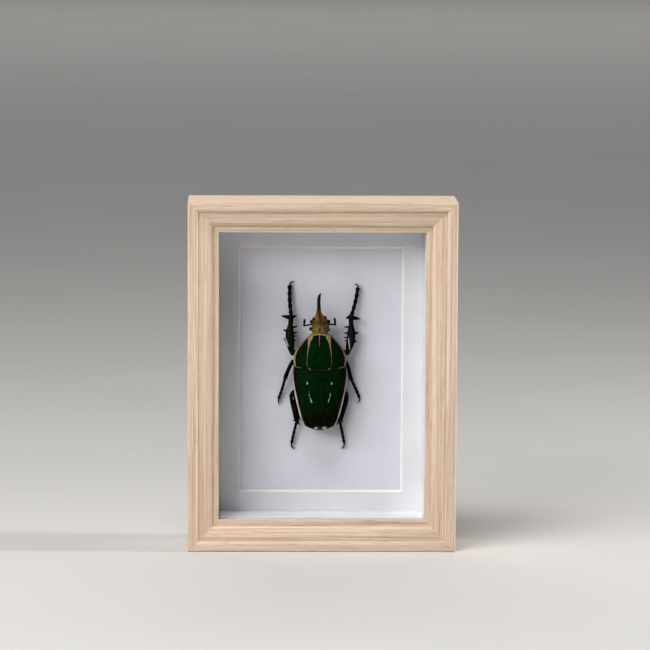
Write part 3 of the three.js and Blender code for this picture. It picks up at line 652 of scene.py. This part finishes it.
# Elytra: the two hard wing cases, grown shells that meet at a straight seam behind the scutellum. The same
# velvet of scales, with cream side stripes, a spot, a streak and a pale half moon at each tip.
ELYTRA = [
    (-37.7, 2.2, 9.0, 9.9, 8.4), (-36.2, 6.8, 9.0, 12.0, 8.4), (-32.6, 10.4, 9.0, 15.6, 8.4),
    (-25.2, 13.2, 9.2, 19.2, 8.6), (-17.6, 15.0, 9.4, 20.8, 8.8), (-10.2, 16.1, 9.6, 21.2, 9.0),
    (-4.0, 16.5, 9.8, 20.9, 9.2), (-0.35, 16.1, 9.8, 20.3, 9.2),
]
SEAM_GAP = 0.16
SCUTELLUM_HALF_WIDTH = 4.0
SCUTELLUM_START = -0.7
SCUTELLUM_TIP = -7.8
SCUTELLUM_GAP = 0.14
SCUTELLUM_NOTCH = 0.4
SEAM_ROLL = 0.18
SEAM_ROLL_WIDTH = 0.3
ELYTRON_RINGS = 230
ELYTRON_TOP = 120
ELYTRON_UNDER = 10
# Lumps of the shell: across, along, spread and height. Shoulder, then the knob before the tip.
ELYTRON_LUMPS = [(12.4, -5.5, 2.4, 0.5), (7.0, -31.6, 1.8, 0.7)]
# Weak ridges along the shell, as shares of the half width, with their spread and the ends of their run
ELYTRON_RIBS = (0.33, 0.6)
RIB_SPREAD = 0.03
RIB_HEIGHT = 0.12
RIB_ENDS = (-32, -6)
RIB_FADE = 6
# The cream side stripe: place along and width seen from above. It starts a little above the side margin.
STRIPE_WIDTHS = [(-35, 0), (-33.5, 0.4), (-31, 0.85), (-28, 1.2),
                 (-18, 1.2), (-12, 0.8), (-6, 0.5), (-1.5, 0.3)]
STRIPE_RISE = 1.4
LOWEST_MARKED_TURN = -0.3
# Painted shade toward the sides, in shares of the half width, and toward the tip: start and run of each, and
# most
ELYTRON_PAINTED_SHADE = (0.72, 0.2, -18, 15, 0.9)
ELYTRON_MARKS = {
    "left": [
        [(-7.8, -7.0, 0.3), (-7.75, -7.9, 0.38)],
        [(-6.7, -14.0, 0.12), (-6.4, -15.2, 0.18)],
        [(-6.0, -16.3, 0.2), (-5.1, -19.1, 0.26)],
        [(-6.9, -12.5, 0.05), (-6.9, -12.9, 0.05)],
    ],
    "right": [
        [(7.1, -7.1, 0.28), (6.95, -8.0, 0.36)],
        [(6.4, -13.5, 0.15), (5.95, -15.4, 0.2)],
        [(5.7, -16.6, 0.22), (5.05, -19.0, 0.26)],
    ],
}
TIP_MOONS = {
    "left": [(-2.6, -36.2, 0.75), (-1.8, -36.2, 0.75)],
    "right": [(2.1, -36.1, 0.75), (3.4, -36.0, 0.8)],
}
ELYTRON_GREEN = "#072b10"
STRIPE_CREAM = "#dccfbe"
STRIPE_CREAM_DARK = "#bcad98"
elytron_velvet = velvet_shell("chitin_scaled_dark_green", ELYTRON_GREEN, STRIPE_CREAM, STRIPE_CREAM_DARK)


def scutellum_half(along):
    """Half width of the scutellum at a place along the body."""
    share = (np.asarray(along) - SCUTELLUM_TIP) / (SCUTELLUM_START - SCUTELLUM_TIP)
    return SCUTELLUM_HALF_WIDTH * np.clip(share, 0, None)


def elytron(side_name, side):
    """One wing case with its marks. The side is -1 for the left and 1 for the right."""
    place = eased(ELYTRA[0][0], ELYTRA[-1][0], ELYTRON_RINGS)[:, None]
    width, margin, back, belly = columns(ELYTRA, place)
    bow = WAIST_BOW * (place - place[0]) / (place[-1] - place[0])
    shield_edge = scutellum_half(place) + SCUTELLUM_GAP * (place > SCUTELLUM_TIP - SCUTELLUM_NOTCH)
    inner = np.maximum(SEAM_GAP / 2, shield_edge)
    inner_turn = np.arccos(np.clip(inner / width, 0, 1) ** (1 / BODY_SQUARENESS))
    top = inner_turn * np.linspace(1, 0, ELYTRON_TOP)[None, :]
    under = np.linspace(0, -math.pi / 2, ELYTRON_UNDER + 1)[1:]
    turn = np.hstack((top, np.broadcast_to(under, (ELYTRON_RINGS, ELYTRON_UNDER))))
    across, up = rounded(np.cos(turn)), rounded(np.sin(turn))
    from_end = np.minimum(place[-1] - place, SHELL_ROLL)
    inset = SHELL_ROLL - np.sqrt(np.clip(SHELL_ROLL ** 2 - (SHELL_ROLL - from_end) ** 2, 0, None))
    x = np.maximum(width * across, SEAM_GAP / 2)
    h = margin + np.where(up > 0, (back - margin - inset) * up, (margin - belly) * up)
    y = place + bow * across ** 2
    is_top = turn > 0
    h -= SEAM_ROLL * np.exp(-((x - inner) / SEAM_ROLL_WIDTH) ** 2) * is_top
    for lump_x, lump_y, spread, height in ELYTRON_LUMPS:
        h += height * np.exp(-((x - lump_x) ** 2 + (y - lump_y) ** 2) / spread ** 2) * is_top
    on_back = np.clip((RIB_ENDS[1] - y) / RIB_FADE, 0, 1) * np.clip((y - RIB_ENDS[0]) / RIB_FADE, 0, 1)
    for share in ELYTRON_RIBS:
        h += RIB_HEIGHT * on_back * np.exp(-((x / width - share) / RIB_SPREAD) ** 2) * is_top
    from_side = width - x
    stripe = np.interp(y, *np.array(STRIPE_WIDTHS).T)
    spots = np.maximum.reduce([stroke(side * x, y, mark) for mark in ELYTRON_MARKS[side_name]])
    moon = stroke(side * x, y, TIP_MOONS[side_name])
    side_stripe = np.minimum(stripe - from_side, h - margin - STRIPE_RISE)
    mark = np.where(turn > LOWEST_MARKED_TURN, np.maximum.reduce([spots, moon, side_stripe]), UNMARKED)
    # Painted shade: darker toward the sides and toward the tip
    side_start, side_run, tip_start, tip_run, dusk_most = ELYTRON_PAINTED_SHADE
    dusk = np.maximum((x / width - side_start) / side_run, (tip_start - y) / tip_run)
    points = np.stack((side * x, y, h), axis=-1)
    piece = mesh_piece("elytron_" + side_name, on_card(points), ring_faces(*x.shape), elytron_velvet)
    paint(piece, mark=mark, white=np.clip(np.maximum(spots, moon) + 1, 0, 1),
          dusk=np.clip(dusk, 0, dusk_most))
    place_on_root(piece, "elytron_" + side_name)


elytron("left", -1)
elytron("right", 1)

# Scutellum: the small three-cornered shield let in between the bases of the elytra, flush with them.
# Grown of the same shell, with rolled edges and a dark bloom in its middle.
SCUTELLUM_THICKNESS = 0.9
SCUTELLUM_ROWS = 60
SCUTELLUM_COLUMNS = 40
SCUTELLUM_LEAST_HALF = 0.12
SCUTELLUM_ROLL = 0.25
SCUTELLUM_LIFT = 0.05
SCUTELLUM_UNDER_SHARE = 0.85
# Place along, half width, half length and depth of the bloom
BLOOM = (-4.0, 1.6, 1.8, 0.65)


def wing_case_height(across, along):
    """Height of the elytra's dome over the card."""
    width, margin, back, _ = columns(ELYTRA, along)
    share = np.clip(np.abs(across) / width, 0, 1) ** (1 / BODY_SQUARENESS)
    return margin + (back - margin) * rounded(np.sqrt(1 - share ** 2))


row_along = np.linspace(SCUTELLUM_TIP, SCUTELLUM_START, SCUTELLUM_ROWS)[:, None]
row_half = np.maximum(scutellum_half(row_along), SCUTELLUM_LEAST_HALF)
span = np.sin(np.linspace(-math.pi / 2, math.pi / 2, SCUTELLUM_COLUMNS))[None, :]
top_x = row_half * span
edge_roll = SCUTELLUM_ROLL * np.exp(-((row_half - np.abs(top_x)) / SCUTELLUM_ROLL) ** 2)
top_h = wing_case_height(top_x, np.broadcast_to(row_along, top_x.shape)) - edge_roll + SCUTELLUM_LIFT
shield_x = np.hstack((top_x, SCUTELLUM_UNDER_SHARE * top_x[:, ::-1]))
shield_h = np.hstack((top_h, top_h[:, ::-1] - SCUTELLUM_THICKNESS))
shield_y = np.broadcast_to(row_along, shield_x.shape)
scutellum = mesh_piece("scutellum", on_card(np.stack((shield_x, shield_y, shield_h), axis=-1)),
                       ring_faces(*shield_x.shape), elytron_velvet)
bloom_place, bloom_half, bloom_run, bloom_depth = BLOOM
bloom = bloom_depth * np.exp(-((shield_x / bloom_half) ** 2 + ((shield_y - bloom_place) / bloom_run) ** 2))
paint(scutellum, mark=np.full(shield_x.shape, UNMARKED), white=np.zeros(shield_x.shape), dusk=bloom)
place_on_root(scutellum, "scutellum")

# Head: a flat tan shield with raised black cheeks and a keel that runs up into the long forward horn, black
# at its tip. One grown shell, fused from its swellings and covered with short velvet.
HEAD_VOXEL = 0.12 * MM
# Place along, sideways lean, half width, height and half thickness
HEAD = [
    (20.7, 0, 4.5, 11.5, 2.7), (22.5, 0, 4.8, 11.6, 3.1), (24.6, -0.1, 5.0, 11.7, 3.5),
    (27.4, -0.15, 5.0, 11.9, 3.6), (29.6, -0.3, 5.0, 12.2, 3.3), (31.2, -0.45, 3.7, 12.7, 2.8),
    (32.6, -0.6, 2.5, 13.2, 2.4), (34.8, -0.8, 1.5, 14.2, 2.0), (37.5, -0.8, 1.15, 15.3, 1.5),
    (41.6, -0.9, 1.0, 16.6, 1.1), (44.8, -0.6, 0.85, 17.2, 0.9), (46.7, 0.1, 0.4, 17.3, 0.5),
]
# Keel: place along, half width and half height. It is sunk a little into the face.
KEEL = [(24.5, 0.5, 0.6), (30, 0.9, 1.1), (41, 0.4, 0.7)]
KEEL_SINK = 0.6
# Cheek lobes: across, along, height and radius
LOBES = [(-4.1, 30.5, 12.3, 0.8), (3.2, 31.7, 12.9, 0.75), (-5.3, 28.8, 12.0, 0.95), (5.2, 28.9, 12.0, 1.05),
         (4.9, 26.0, 11.8, 0.7)]
LOBE_STRETCH = 1.1
EYES = {"left": (-5.75, 24.4, 11.8), "right": (5.2, 23.9, 11.8)}
EYE_RADIUS = 1.05
SOCKET_INSET = 0.95
SOCKET_SINK = 0.2
# Brown streak on the keel: across, along and half width
KEEL_STREAK = [(-0.9, 35.8, 0.5), (-0.6, 32.6, 0.7), (0.3, 30.4, 0.6), (0.9, 28.2, 0.3)]
# Olive band over the face: place along, spread and strength. Then the start and run of the bare horn.
OLIVE_BAND = (28.4, 2.3, 0.8)
BARE_HORN = (34.8, 2.6)
HEAD_TAN = "#84703f"
HEAD_TAN_DARK = "#523d20"
HEAD_OLIVE = "#433820"
HEAD_KEEL = "#5a3410"
HORN_BLACK = "#0b090a"
# Short pile of the head, drawn coarser than life so that it shows
HEAD_PILE = 0.25 * MM


def tube(places, wide, thick, turns):
    """Limb with elliptic sections along a row of places: points and faces."""
    places = np.asarray(places, dtype=float)
    along = np.gradient(places, axis=0)
    along /= np.linalg.norm(along, axis=1, keepdims=True)
    up = np.array((0, 0, 1.0)) - along[:, 2:] * along
    up /= np.linalg.norm(up, axis=1, keepdims=True)
    across = np.cross(along, up)
    turn = np.linspace(0, 2 * math.pi, turns, endpoint=False)
    wide, thick = (np.broadcast_to(np.asarray(size, dtype=float), len(places)) for size in (wide, thick))
    rings = (places[:, None] + across[:, None] * np.outer(wide, np.cos(turn))[..., None]
             + up[:, None] * np.outer(thick, np.sin(turn))[..., None])
    return rings.reshape(-1, 3), ring_faces(len(places), turns)


def lump(place, radii, turns=24):
    """Rounded swelling about a place: points and faces."""
    run = np.cos(np.linspace(0.08, math.pi - 0.08, turns))
    middle = np.array(place) + np.outer(run, (0, radii[1], 0))
    girth = np.sqrt(1 - run ** 2)
    return tube(middle, girth * radii[0], girth * radii[2], turns)


def joined(parts):
    """Several meshes as one: points and faces."""
    points, faces, start = [], [], 0
    for part_points, part_faces in parts:
        points.append(part_points)
        faces += [[corner + start for corner in face] for face in part_faces]
        start += len(part_points)
    return np.vstack(points), faces


def fused(name, parts, voxel, smoothing, finish):
    """One closed skin grown over several closed parts, with soft hollows where they meet."""
    points, faces = joined(parts)
    raw = mesh_piece(name + "_parts", on_card(points), faces, finish)
    skin = raw.modifiers.new("skin", "REMESH")
    skin.mode = "VOXEL"
    skin.voxel_size = voxel
    smooth = raw.modifiers.new("smooth", "SMOOTH")
    smooth.factor = 0.5
    smooth.iterations = smoothing
    grown = bpy.data.meshes.new_from_object(raw.evaluated_get(bpy.context.evaluated_depsgraph_get()))
    bpy.data.objects.remove(raw)
    grown.name = name
    grown.shade_smooth()
    if not grown.materials:
        grown.materials.append(finish)
    piece = bpy.data.objects.new(name, grown)
    bpy.context.collection.objects.link(piece)
    return piece


def beetle_places(piece):
    """Points of a piece as millimetres across, along and up from the card."""
    flat = np.empty(3 * len(piece.data.vertices), dtype=np.float32)
    piece.data.vertices.foreach_get("co", flat)
    x, y, z = flat.reshape(-1, 3).T / MM
    return x - BEETLE_X, z - WAIST_Z, CARD_Y - y


# Scaled chitin of the head: dull tan pile, olive in the middle, worn to bare brown on the keel and to black
# on the cheeks and the horn
head_velvet, tree, place = new_material("chitin_scaled_tan")
pile = add(tree, "TexNoise", {"Vector": place, "Scale": 1 / HEAD_PILE, "Detail": 3, "Roughness": 0.65})
drift = add(tree, "TexNoise", {"Vector": place, "Scale": 1 / SCALE_CLOUD, "Detail": 4})
head_colour = add(tree, "ValToRGB", {"Fac": drift}, stops=[(0.35, HEAD_TAN_DARK), (0.6, HEAD_TAN)])
for field, wear in (("olive", HEAD_OLIVE), ("keel", HEAD_KEEL), ("bare", HORN_BLACK)):
    worn = add(tree, "Attribute", attribute_name=field).outputs["Fac"]
    head_colour = add(tree, "Mix", {0: worn, 6: head_colour, 7: wear}, data_type="RGBA")
head_rough = add(tree, "MapRange", {"Value": worn, "To Min": 0.7, "To Max": 0.38})
head_bump = add(tree, "Bump", {"Height": pile, "Strength": 0.3, "Distance": 0.06 * MM})
head_shell = add(tree, "BsdfPrincipled", {"Base Color": head_colour, "Roughness": head_rough,
                                          "Normal": head_bump, "Specular IOR Level": 0.15})
add(tree, "OutputMaterial", {"Surface": head_shell})

head_along = eased(HEAD[0][0], HEAD[-1][0], 70)
lean, head_half, head_height, head_thick = columns(HEAD, head_along)
face = tube(np.column_stack((lean, head_along, head_height)), head_half, head_thick, 40)
keel_along = np.linspace(KEEL[0][0], KEEL[-1][0], 30)
keel_lean, _, keel_height, keel_thick = columns(HEAD, keel_along)
keel_place, *keel_sizes = np.array(KEEL).T
keel_half, keel_rise = (np.interp(keel_along, keel_place, size) for size in keel_sizes)
keel_line = np.column_stack((keel_lean, keel_along, keel_height + keel_thick - KEEL_SINK))
keel = tube(keel_line, keel_half, keel_rise, 16)
sockets = [(x * SOCKET_INSET, y, z - SOCKET_SINK, EYE_RADIUS) for x, y, z in EYES.values()]
swellings = [lump(middle, (radius, radius * LOBE_STRETCH, radius)) for *middle, radius in LOBES + sockets]
head = fused("head", [face, keel, *swellings], HEAD_VOXEL, 2, head_velvet)
head_x, head_y, _ = beetle_places(head)
olive_place, olive_spread, olive_depth = OLIVE_BAND
olive = olive_depth * np.exp(-((head_y - olive_place) / olive_spread) ** 2)
keel_wear = np.clip(stroke(head_x, head_y, KEEL_STREAK) + 0.9, 0, 1)
lobe_reaches = [radius * LOBE_STRETCH - np.hypot(head_x - x, head_y - y) for x, y, _, radius in LOBES]
cheek = np.maximum.reduce(lobe_reaches)
bare = np.clip(np.maximum(cheek + 0.5, (head_y - BARE_HORN[0]) / BARE_HORN[1]), 0, 1)
paint(head, olive=olive, keel=keel_wear, bare=bare)
place_on_root(head, "head")

# Eyes: two small domes of fine facets at the sides of the head, dark brown and shining. Each is grown of
# clear cornea over dark cells and sits in a socket of the head.
EYE_FACET = 0.18 * MM
EYE_WIDTH_SHARE = 0.92
EYE_BROWN = "#4a2018"

# Cornea of an insect eye: glassy, in a close mosaic of facets drawn coarser than life so that it shows
cornea, tree, place = new_material("cornea_faceted")
facets = add(tree, "TexVoronoi", {"Vector": place, "Scale": 1 / EYE_FACET})
facet_tone = add(tree, "ValToRGB", {"Fac": facets}, stops=[(0.1, EYE_BROWN), (0.6, CHITIN_BLACK)])
facet_bump = add(tree, "Bump", {"Height": facets, "Strength": 0.4, "Distance": 0.03 * MM}, invert=True)
eye_surface = add(tree, "BsdfPrincipled", {"Base Color": facet_tone, "Roughness": 0.15, "Normal": facet_bump})
add(tree, "OutputMaterial", {"Surface": eye_surface})
for side_name, eye_place in EYES.items():
    dome_points, dome_faces = lump(eye_place, (EYE_RADIUS * EYE_WIDTH_SHARE, EYE_RADIUS, EYE_RADIUS))
    eye = mesh_piece("eye_" + side_name, on_card(dome_points), dome_faces, cornea)
    place_on_root(eye, "head")

# Antennae: short elbowed feelers of black chitin beads, each with a club of three leaves. Each is one skin
# grown over its beads and leaves, rooted beside the cheek.
STALK_RADIUS = 0.5
# Root, elbow and tip of each
ANTENNAE = {
    "left": ((-4.7, 27.2, 11.4), (-9.7, 26.1, 10.6), (-9.3, 30.4, 10.8)),
    "right": ((4.6, 27.3, 11.4), (9.3, 26.8, 10.6), (8.7, 31.1, 10.8)),
}
STALK_BEADS = 6
CLUB_LEAVES = 3
LEAF_THICKNESS = 0.22
LEAF_PITCH = 2.1 * LEAF_THICKNESS
LEAF_WIDTH = 0.6
# First and last share of the way: stalk from root to elbow, club's stalk and leaves from elbow to tip
STALK_RUN = (0.05, 1.03)
CLUB_RUN = (-0.08, 0.4)
LEAF_RUN = (0.22, 1)
ANTENNA_VOXEL = 0.09 * MM
feeler_chitin = black_chitin("chitin_bare_feeler")


def between(start, end, share):
    """Places on a straight way from start to end, by share of its length."""
    start, end = np.asarray(start, dtype=float), np.asarray(end, dtype=float)
    return start + np.outer(np.atleast_1d(share), end - start)


stalk_turn = np.linspace(0, 1, 60) * STALK_BEADS * math.pi
stalk_radius = STALK_RADIUS * (0.8 + 0.25 * np.abs(np.sin(stalk_turn)))
swell = np.sin(np.linspace(0.25, math.pi - 0.2, 24)) ** 0.5
for side_name, (root, elbow, club_end) in ANTENNAE.items():
    stalk = between(root, elbow, np.linspace(*STALK_RUN, 60))
    club_stalk = between(elbow, club_end, np.linspace(*CLUB_RUN, 12))
    parts = [tube(stalk, stalk_radius, stalk_radius, 14), tube(club_stalk, STALK_RADIUS, STALK_RADIUS, 14)]
    for leaf in range(CLUB_LEAVES):
        shift = np.array(((leaf - 1) * LEAF_PITCH, 0, 0))
        blade = between(elbow, club_end, np.linspace(*LEAF_RUN, 24)) + shift
        parts.append(tube(blade, LEAF_THICKNESS * swell, LEAF_WIDTH * swell, 12))
    antenna = fused("antenna_" + side_name, parts, ANTENNA_VOXEL, 2, feeler_chitin)
    place_on_root(antenna, "antenna_" + side_name)

# Legs: six jointed limbs of hard black chitin, each with thigh, spined shin, a foot of five beads and a pair
# of claws. Each is one skin grown over its joints and dried in the pose in which it was pinned out. The front
# shins are green along the middle, partly their own colour and partly painted sheen, with pale streaks that
# are painted highlights.
FRONT_LEG = {"thigh": (9.4, 11.2, 7.8), "thigh_radius": 1.8, "flatness": 0.62, "foot": 1.35,
             "shin_widths": (1.0, 1.9, 2.45, 2.6, 2.55, 2.2, 1.5, 1.45, 1.4)}
MIDDLE_LEG = {"thigh": (10.5, -3.2, 5.0), "thigh_radius": 1.45, "flatness": 0.8, "foot": 1.0,
              "shin_widths": (0.9, 1.05, 1.15, 1.15, 1.15, 1.2, 1.3, 1.1)}
HIND_LEG = {"thigh": (9.5, -12.8, 4.4), "thigh_radius": 2.0, "flatness": 0.72, "foot": 1.0,
            "shin_widths": (1.2, 1.8, 2.0, 2.0, 1.9, 1.8, 1.75, 1.2)}
# Knee, middle of the shin, ankle, sole, toe and claw tip of each leg
LEGS = {
    "front_leg_left": (-1, FRONT_LEG, [(-17.0, 8.5, 6.0), (-18.2, 19.0, 6.2), (-17.2, 31.9, 4.8),
                                       (-18.3, 41.4, 3.0), (-18.3, 49.6, 2.2), (-15.6, 52.0, 1.2)]),
    "front_leg_right": (1, FRONT_LEG, [(17.0, 8.6, 6.0), (18.9, 18.0, 6.2), (18.8, 31.4, 4.8),
                                       (21.6, 40.2, 3.0), (23.1, 48.4, 2.2), (20.9, 50.4, 1.2)]),
    "middle_leg_left": (-1, MIDDLE_LEG, [(-16.5, 4.0, 6.0), (-18.9, -1.2, 5.8), (-20.9, -6.6, 4.8),
                                         (-22.6, -13.2, 2.8), (-24.7, -19.6, 1.8), (-24.3, -23.0, 1.0)]),
    "middle_leg_right": (1, MIDDLE_LEG, [(16.2, 3.4, 6.0), (17.8, -1.8, 5.8), (19.0, -7.2, 4.8),
                                         (21.8, -13.0, 2.8), (24.3, -18.8, 1.8), (23.2, -22.0, 1.0)]),
    "hind_leg_left": (-1, HIND_LEG, [(-17.0, -16.2, 5.6), (-15.1, -24.6, 5.4), (-13.5, -33.4, 4.2),
                                     (-15.4, -40.4, 2.6), (-16.8, -46.8, 1.8), (-15.0, -50.7, 1.0)]),
    "hind_leg_right": (1, HIND_LEG, [(16.5, -16.4, 5.6), (14.5, -24.8, 5.4), (12.2, -33.4, 4.2),
                                     (13.9, -40.2, 2.6), (15.2, -46.6, 1.8), (13.2, -50.5, 1.0)]),
}
# Spines of the shins: tip across and along, root along the shin and root radius
SPINES = {
    "front_leg_left": [(-23.6, 31.4, 30.4, 1.5), (-22.3, 23.0, 22.0, 1.2), (-21.9, 18.1, 13.2, 1.6),
                       (-13.4, 25.1, 24.2, 0.9), (-13.5, 21.6, 20.6, 0.95), (-13.9, 19.5, 18.7, 0.8),
                       (-14.1, 17.0, 16.1, 0.9), (-14.0, 31.7, 30.4, 1.2)],
    "front_leg_right": [(24.8, 29.6, 30.4, 1.5), (23.5, 21.5, 20.6, 1.4), (22.6, 16.4, 15.2, 1.4),
                        (14.6, 24.7, 24.9, 0.9), (14.5, 21.1, 21.1, 0.95), (14.4, 18.5, 18.5, 0.9),
                        (14.8, 16.4, 16.4, 0.85), (15.5, 29.8, 31.6, 1.2)],
    "middle_leg_left": [(-22.3, -6.5, -5.4, 0.8), (-19.2, -7.6, -5.8, 0.6)],
    "middle_leg_right": [(20.6, -7.2, -6.0, 0.7), (17.4, -8.0, -6.2, 0.6)],
    "hind_leg_left": [(-16.0, -33.2, -31.6, 1.0), (-12.0, -35.8, -31.8, 0.8), (-18.6, -17.4, -17.2, 1.0)],
    "hind_leg_right": [(14.6, -33.4, -31.8, 1.0), (10.4, -35.4, -31.8, 0.8), (17.9, -17.4, -17.2, 1.0)],
}
# Pale marks of the shins, painted highlights on the front shins and a real scale spot on the left hind leg:
# across, along and half width
SHIN_HIGHLIGHTS_AND_SPOT = {
    "front_leg_left": [(-20.7, 17.4, 0.5), (-19.2, 13.4, 0.45)],
    "front_leg_right": [(17.3, 18.2, 0.45), (17.7, 14.8, 0.5), (18.2, 11.6, 0.45)],
    "hind_leg_left": [(-16.1, -18.3, 0.5), (-15.8, -19.1, 0.5)],
}
# Places along the thigh and share of its radius there
THIGH = [(0, 0.9), (0.4, 1.05), (0.8, 0.9), (1.08, 0.5)]
HEEL_SHARE = 0.95
SHIN_LEAST_THICKNESS = 0.8
SPINE_FLATNESS = 0.7
SPINE_TAPER = 1.6
SPINE_DROP = 0.2
TIP_RADIUS = 0.18
TARSUS_BEADS = 5
# Places in a bead and its share of the foot's radius there
BEAD = [(0.02, 0.7), (0.2, 0.72), (0.5, 0.82), (0.78, 1.0), (0.92, 1.0), (1.0, 0.8)]
# Places along a claw and share of its radius there
CLAW = [(0, 1), (0.4, 0.9), (1, 0.28)]
CLAW_RADIUS = 0.5
CLAW_SPLAY = 0.4
CLAW_ROOT_SHARE = 0.96
CLAW_BEND = 0.75
LEG_VOXEL = 0.11 * MM
# Green of the front shins, partly their own colour and partly a painted sheen, and its half widths at knee,
# middle of the shin and ankle
LEG_GREEN = "#0a270f"
GLOSS_HALF_WIDTHS = (0.9, 1.7, 0.1)
STREAK_PALE = "#a3b0a2"


def path(points, share):
    """Places on a smooth path through a few points, by share of its length."""
    points = np.asarray(points, dtype=float)
    steps = np.concatenate(([0], np.cumsum(np.linalg.norm(np.diff(points, axis=0), axis=1))))
    return np.column_stack([through(steps / steps[-1], column, np.asarray(share)) for column in points.T])


def leg_parts(side, form, joints, spines):
    """Closed parts of one leg, from the thigh to the claws."""
    knee, shin, ankle, sole, toe, claw = (np.array(joint) for joint in joints)
    hip = np.array((side * form["thigh"][0], *form["thigh"][1:]))
    thigh_share = np.linspace(THIGH[0][0], THIGH[-1][0], 24)
    thigh_radius = form["thigh_radius"] * through(*np.array(THIGH).T, thigh_share)
    parts = [tube(between(hip, knee, thigh_share), thigh_radius, thigh_radius, 20)]

    shin_joints = (knee, shin, ankle)
    shin_share = np.linspace(0, 1, 50)
    wide = through(np.linspace(0, 1, len(form["shin_widths"])), form["shin_widths"], shin_share)
    axis = path(shin_joints, shin_share)
    parts.append(tube(axis, wide, np.maximum(wide * form["flatness"], SHIN_LEAST_THICKNESS), 24))
    for tip_x, tip_y, root_y, root_radius in spines:
        root = axis[np.argmin(np.abs(axis[:, 1] - root_y))]
        tip = np.array((tip_x, tip_y, root[2] - SPINE_DROP))
        run = np.linspace(0, 1, 14)
        girth = root_radius + (TIP_RADIUS - root_radius) * run ** SPINE_TAPER
        parts.append(tube(between(root, tip, run), girth, np.maximum(girth * SPINE_FLATNESS, TIP_RADIUS), 12))

    heel = path(shin_joints, [HEEL_SHARE])[0]
    foot_joints = (heel, sole, toe)
    bead_share, bead_radius = np.array(BEAD).T
    for bead in range(TARSUS_BEADS):
        run = np.linspace(bead_share[0], bead_share[-1], 18)
        radius = form["foot"] * through(bead_share, bead_radius, run)
        parts.append(tube(path(foot_joints, (bead + run) / TARSUS_BEADS), radius, radius, 16))

    toe_root, toe_end = path(foot_joints, [CLAW_ROOT_SHARE, 1])
    onward = (toe_end - toe_root) / np.linalg.norm(toe_end - toe_root)
    bend = toe + onward * np.linalg.norm(claw - toe) * CLAW_BEND
    for level in (-1, 1):
        splay = np.array((0, 0, level * CLAW_SPLAY))
        run = np.linspace(0, 1, 20)[:, None]
        hook = toe_root * (1 - run) ** 2 + (bend + splay) * 2 * run * (1 - run) + (claw + splay) * run ** 2
        girth = CLAW_RADIUS * np.interp(run[:, 0], *np.array(CLAW).T)
        parts.append(tube(hook, girth, girth, 12))
    return parts


shin_green = black_chitin("chitin_bare_green", patches=[("green", LEG_GREEN), ("pale", STREAK_PALE)])
shin_black = black_chitin("chitin_bare_leg", patches=[("pale", STREAK_PALE)])
for name, (side, form, joints) in LEGS.items():
    parts = leg_parts(side, form, joints, SPINES[name])
    leg = fused(name, parts, LEG_VOXEL, 1, shin_green if form is FRONT_LEG else shin_black)
    leg_x, leg_y, _ = beetle_places(leg)
    # Painted sheen: green painted along the shin over its own green, widest at the middle
    gloss_run = [(*joint[:2], half_width) for joint, half_width in zip(joints, GLOSS_HALF_WIDTHS)]
    # Pale marks: painted highlights on the front shins, a real scale spot on the left hind leg
    highlights_and_spot = SHIN_HIGHLIGHTS_AND_SPOT.get(name)
    paint(leg, green=np.clip(stroke(leg_x, leg_y, gloss_run), 0, 1),
          pale=np.clip(stroke(leg_x, leg_y, highlights_and_spot) + 0.5, 0, 1) if highlights_and_spot else np.zeros(len(leg_x)))
    place_on_root(leg, name)

# Fringes: rows of stiff brown hairs on the inner edges of the hind shins, grown out of the shell. Each hair
# is a fine tapered strand, rooted in the shin and bent toward the foot.
HAIRS = 240
HAIR_SEED = 7
HAIR_LENGTH = 1.9
HAIR_RADIUS = 0.06
HAIR_BEND = 0.3
# First and last place of the roots along the shin, their depth as a share of its half width, and their spread
HAIR_RUN = (0.15, 0.92)
HAIR_ROOT_SHARE = 0.85
HAIR_ROOT_SPREAD = 0.4
HAIR_TONE_RUN = 0.8 * MM
HAIR_BROWN = "#2e1f12"
HAIR_PALE = "#4f3a24"

# Insect hair: dry and brown, paler in some strands
hair, tree, place = new_material("seta_grown_brown")
strand = add(tree, "TexNoise", {"Vector": place, "Scale": 1 / HAIR_TONE_RUN, "Detail": 1})
hair_tone = add(tree, "ValToRGB", {"Fac": strand}, stops=[(0.4, HAIR_BROWN), (0.65, HAIR_PALE)])
hair_shell = add(tree, "BsdfPrincipled", {"Base Color": hair_tone, "Roughness": 0.55,
                                          "Specular IOR Level": 0.3})
add(tree, "OutputMaterial", {"Surface": hair_shell})

draw = np.random.default_rng(HAIR_SEED)
for name, (side, form, joints) in LEGS.items():
    if form is not HIND_LEG:
        continue
    strands = []
    for share in draw.uniform(*HAIR_RUN, HAIRS):
        root, ahead = path(joints[:3], [share, share + 0.02])
        along = (ahead - root) / np.linalg.norm(ahead - root)
        inward = np.cross((0, 0, 1), along)
        inward *= -side * np.sign(inward[0]) / np.linalg.norm(inward)
        wide = np.interp(share, np.linspace(0, 1, len(form["shin_widths"])), form["shin_widths"])
        rise = draw.uniform(-HAIR_ROOT_SPREAD, HAIR_ROOT_SPREAD)
        start = root + inward * wide * HAIR_ROOT_SHARE + np.array((0, 0, rise))
        lean_out = inward + along * draw.uniform(0.2, 0.8) + np.array((0, 0, draw.uniform(-0.3, 0.3)))
        run = np.linspace(0, 1, 5)
        length = HAIR_LENGTH * draw.uniform(0.5, 1)
        bend = np.outer(run ** 2, along * HAIR_BEND * length)
        strand_places = start + np.outer(run, lean_out * length) + bend
        radius = HAIR_RADIUS * (1.05 - run)
        strands.append(tube(strand_places, radius, radius, 4))
    hair_points, hair_faces = joined(strands)
    fringe = mesh_piece(name + "_fringe", on_card(hair_points), hair_faces, hair)
    place_on_root(fringe, name)
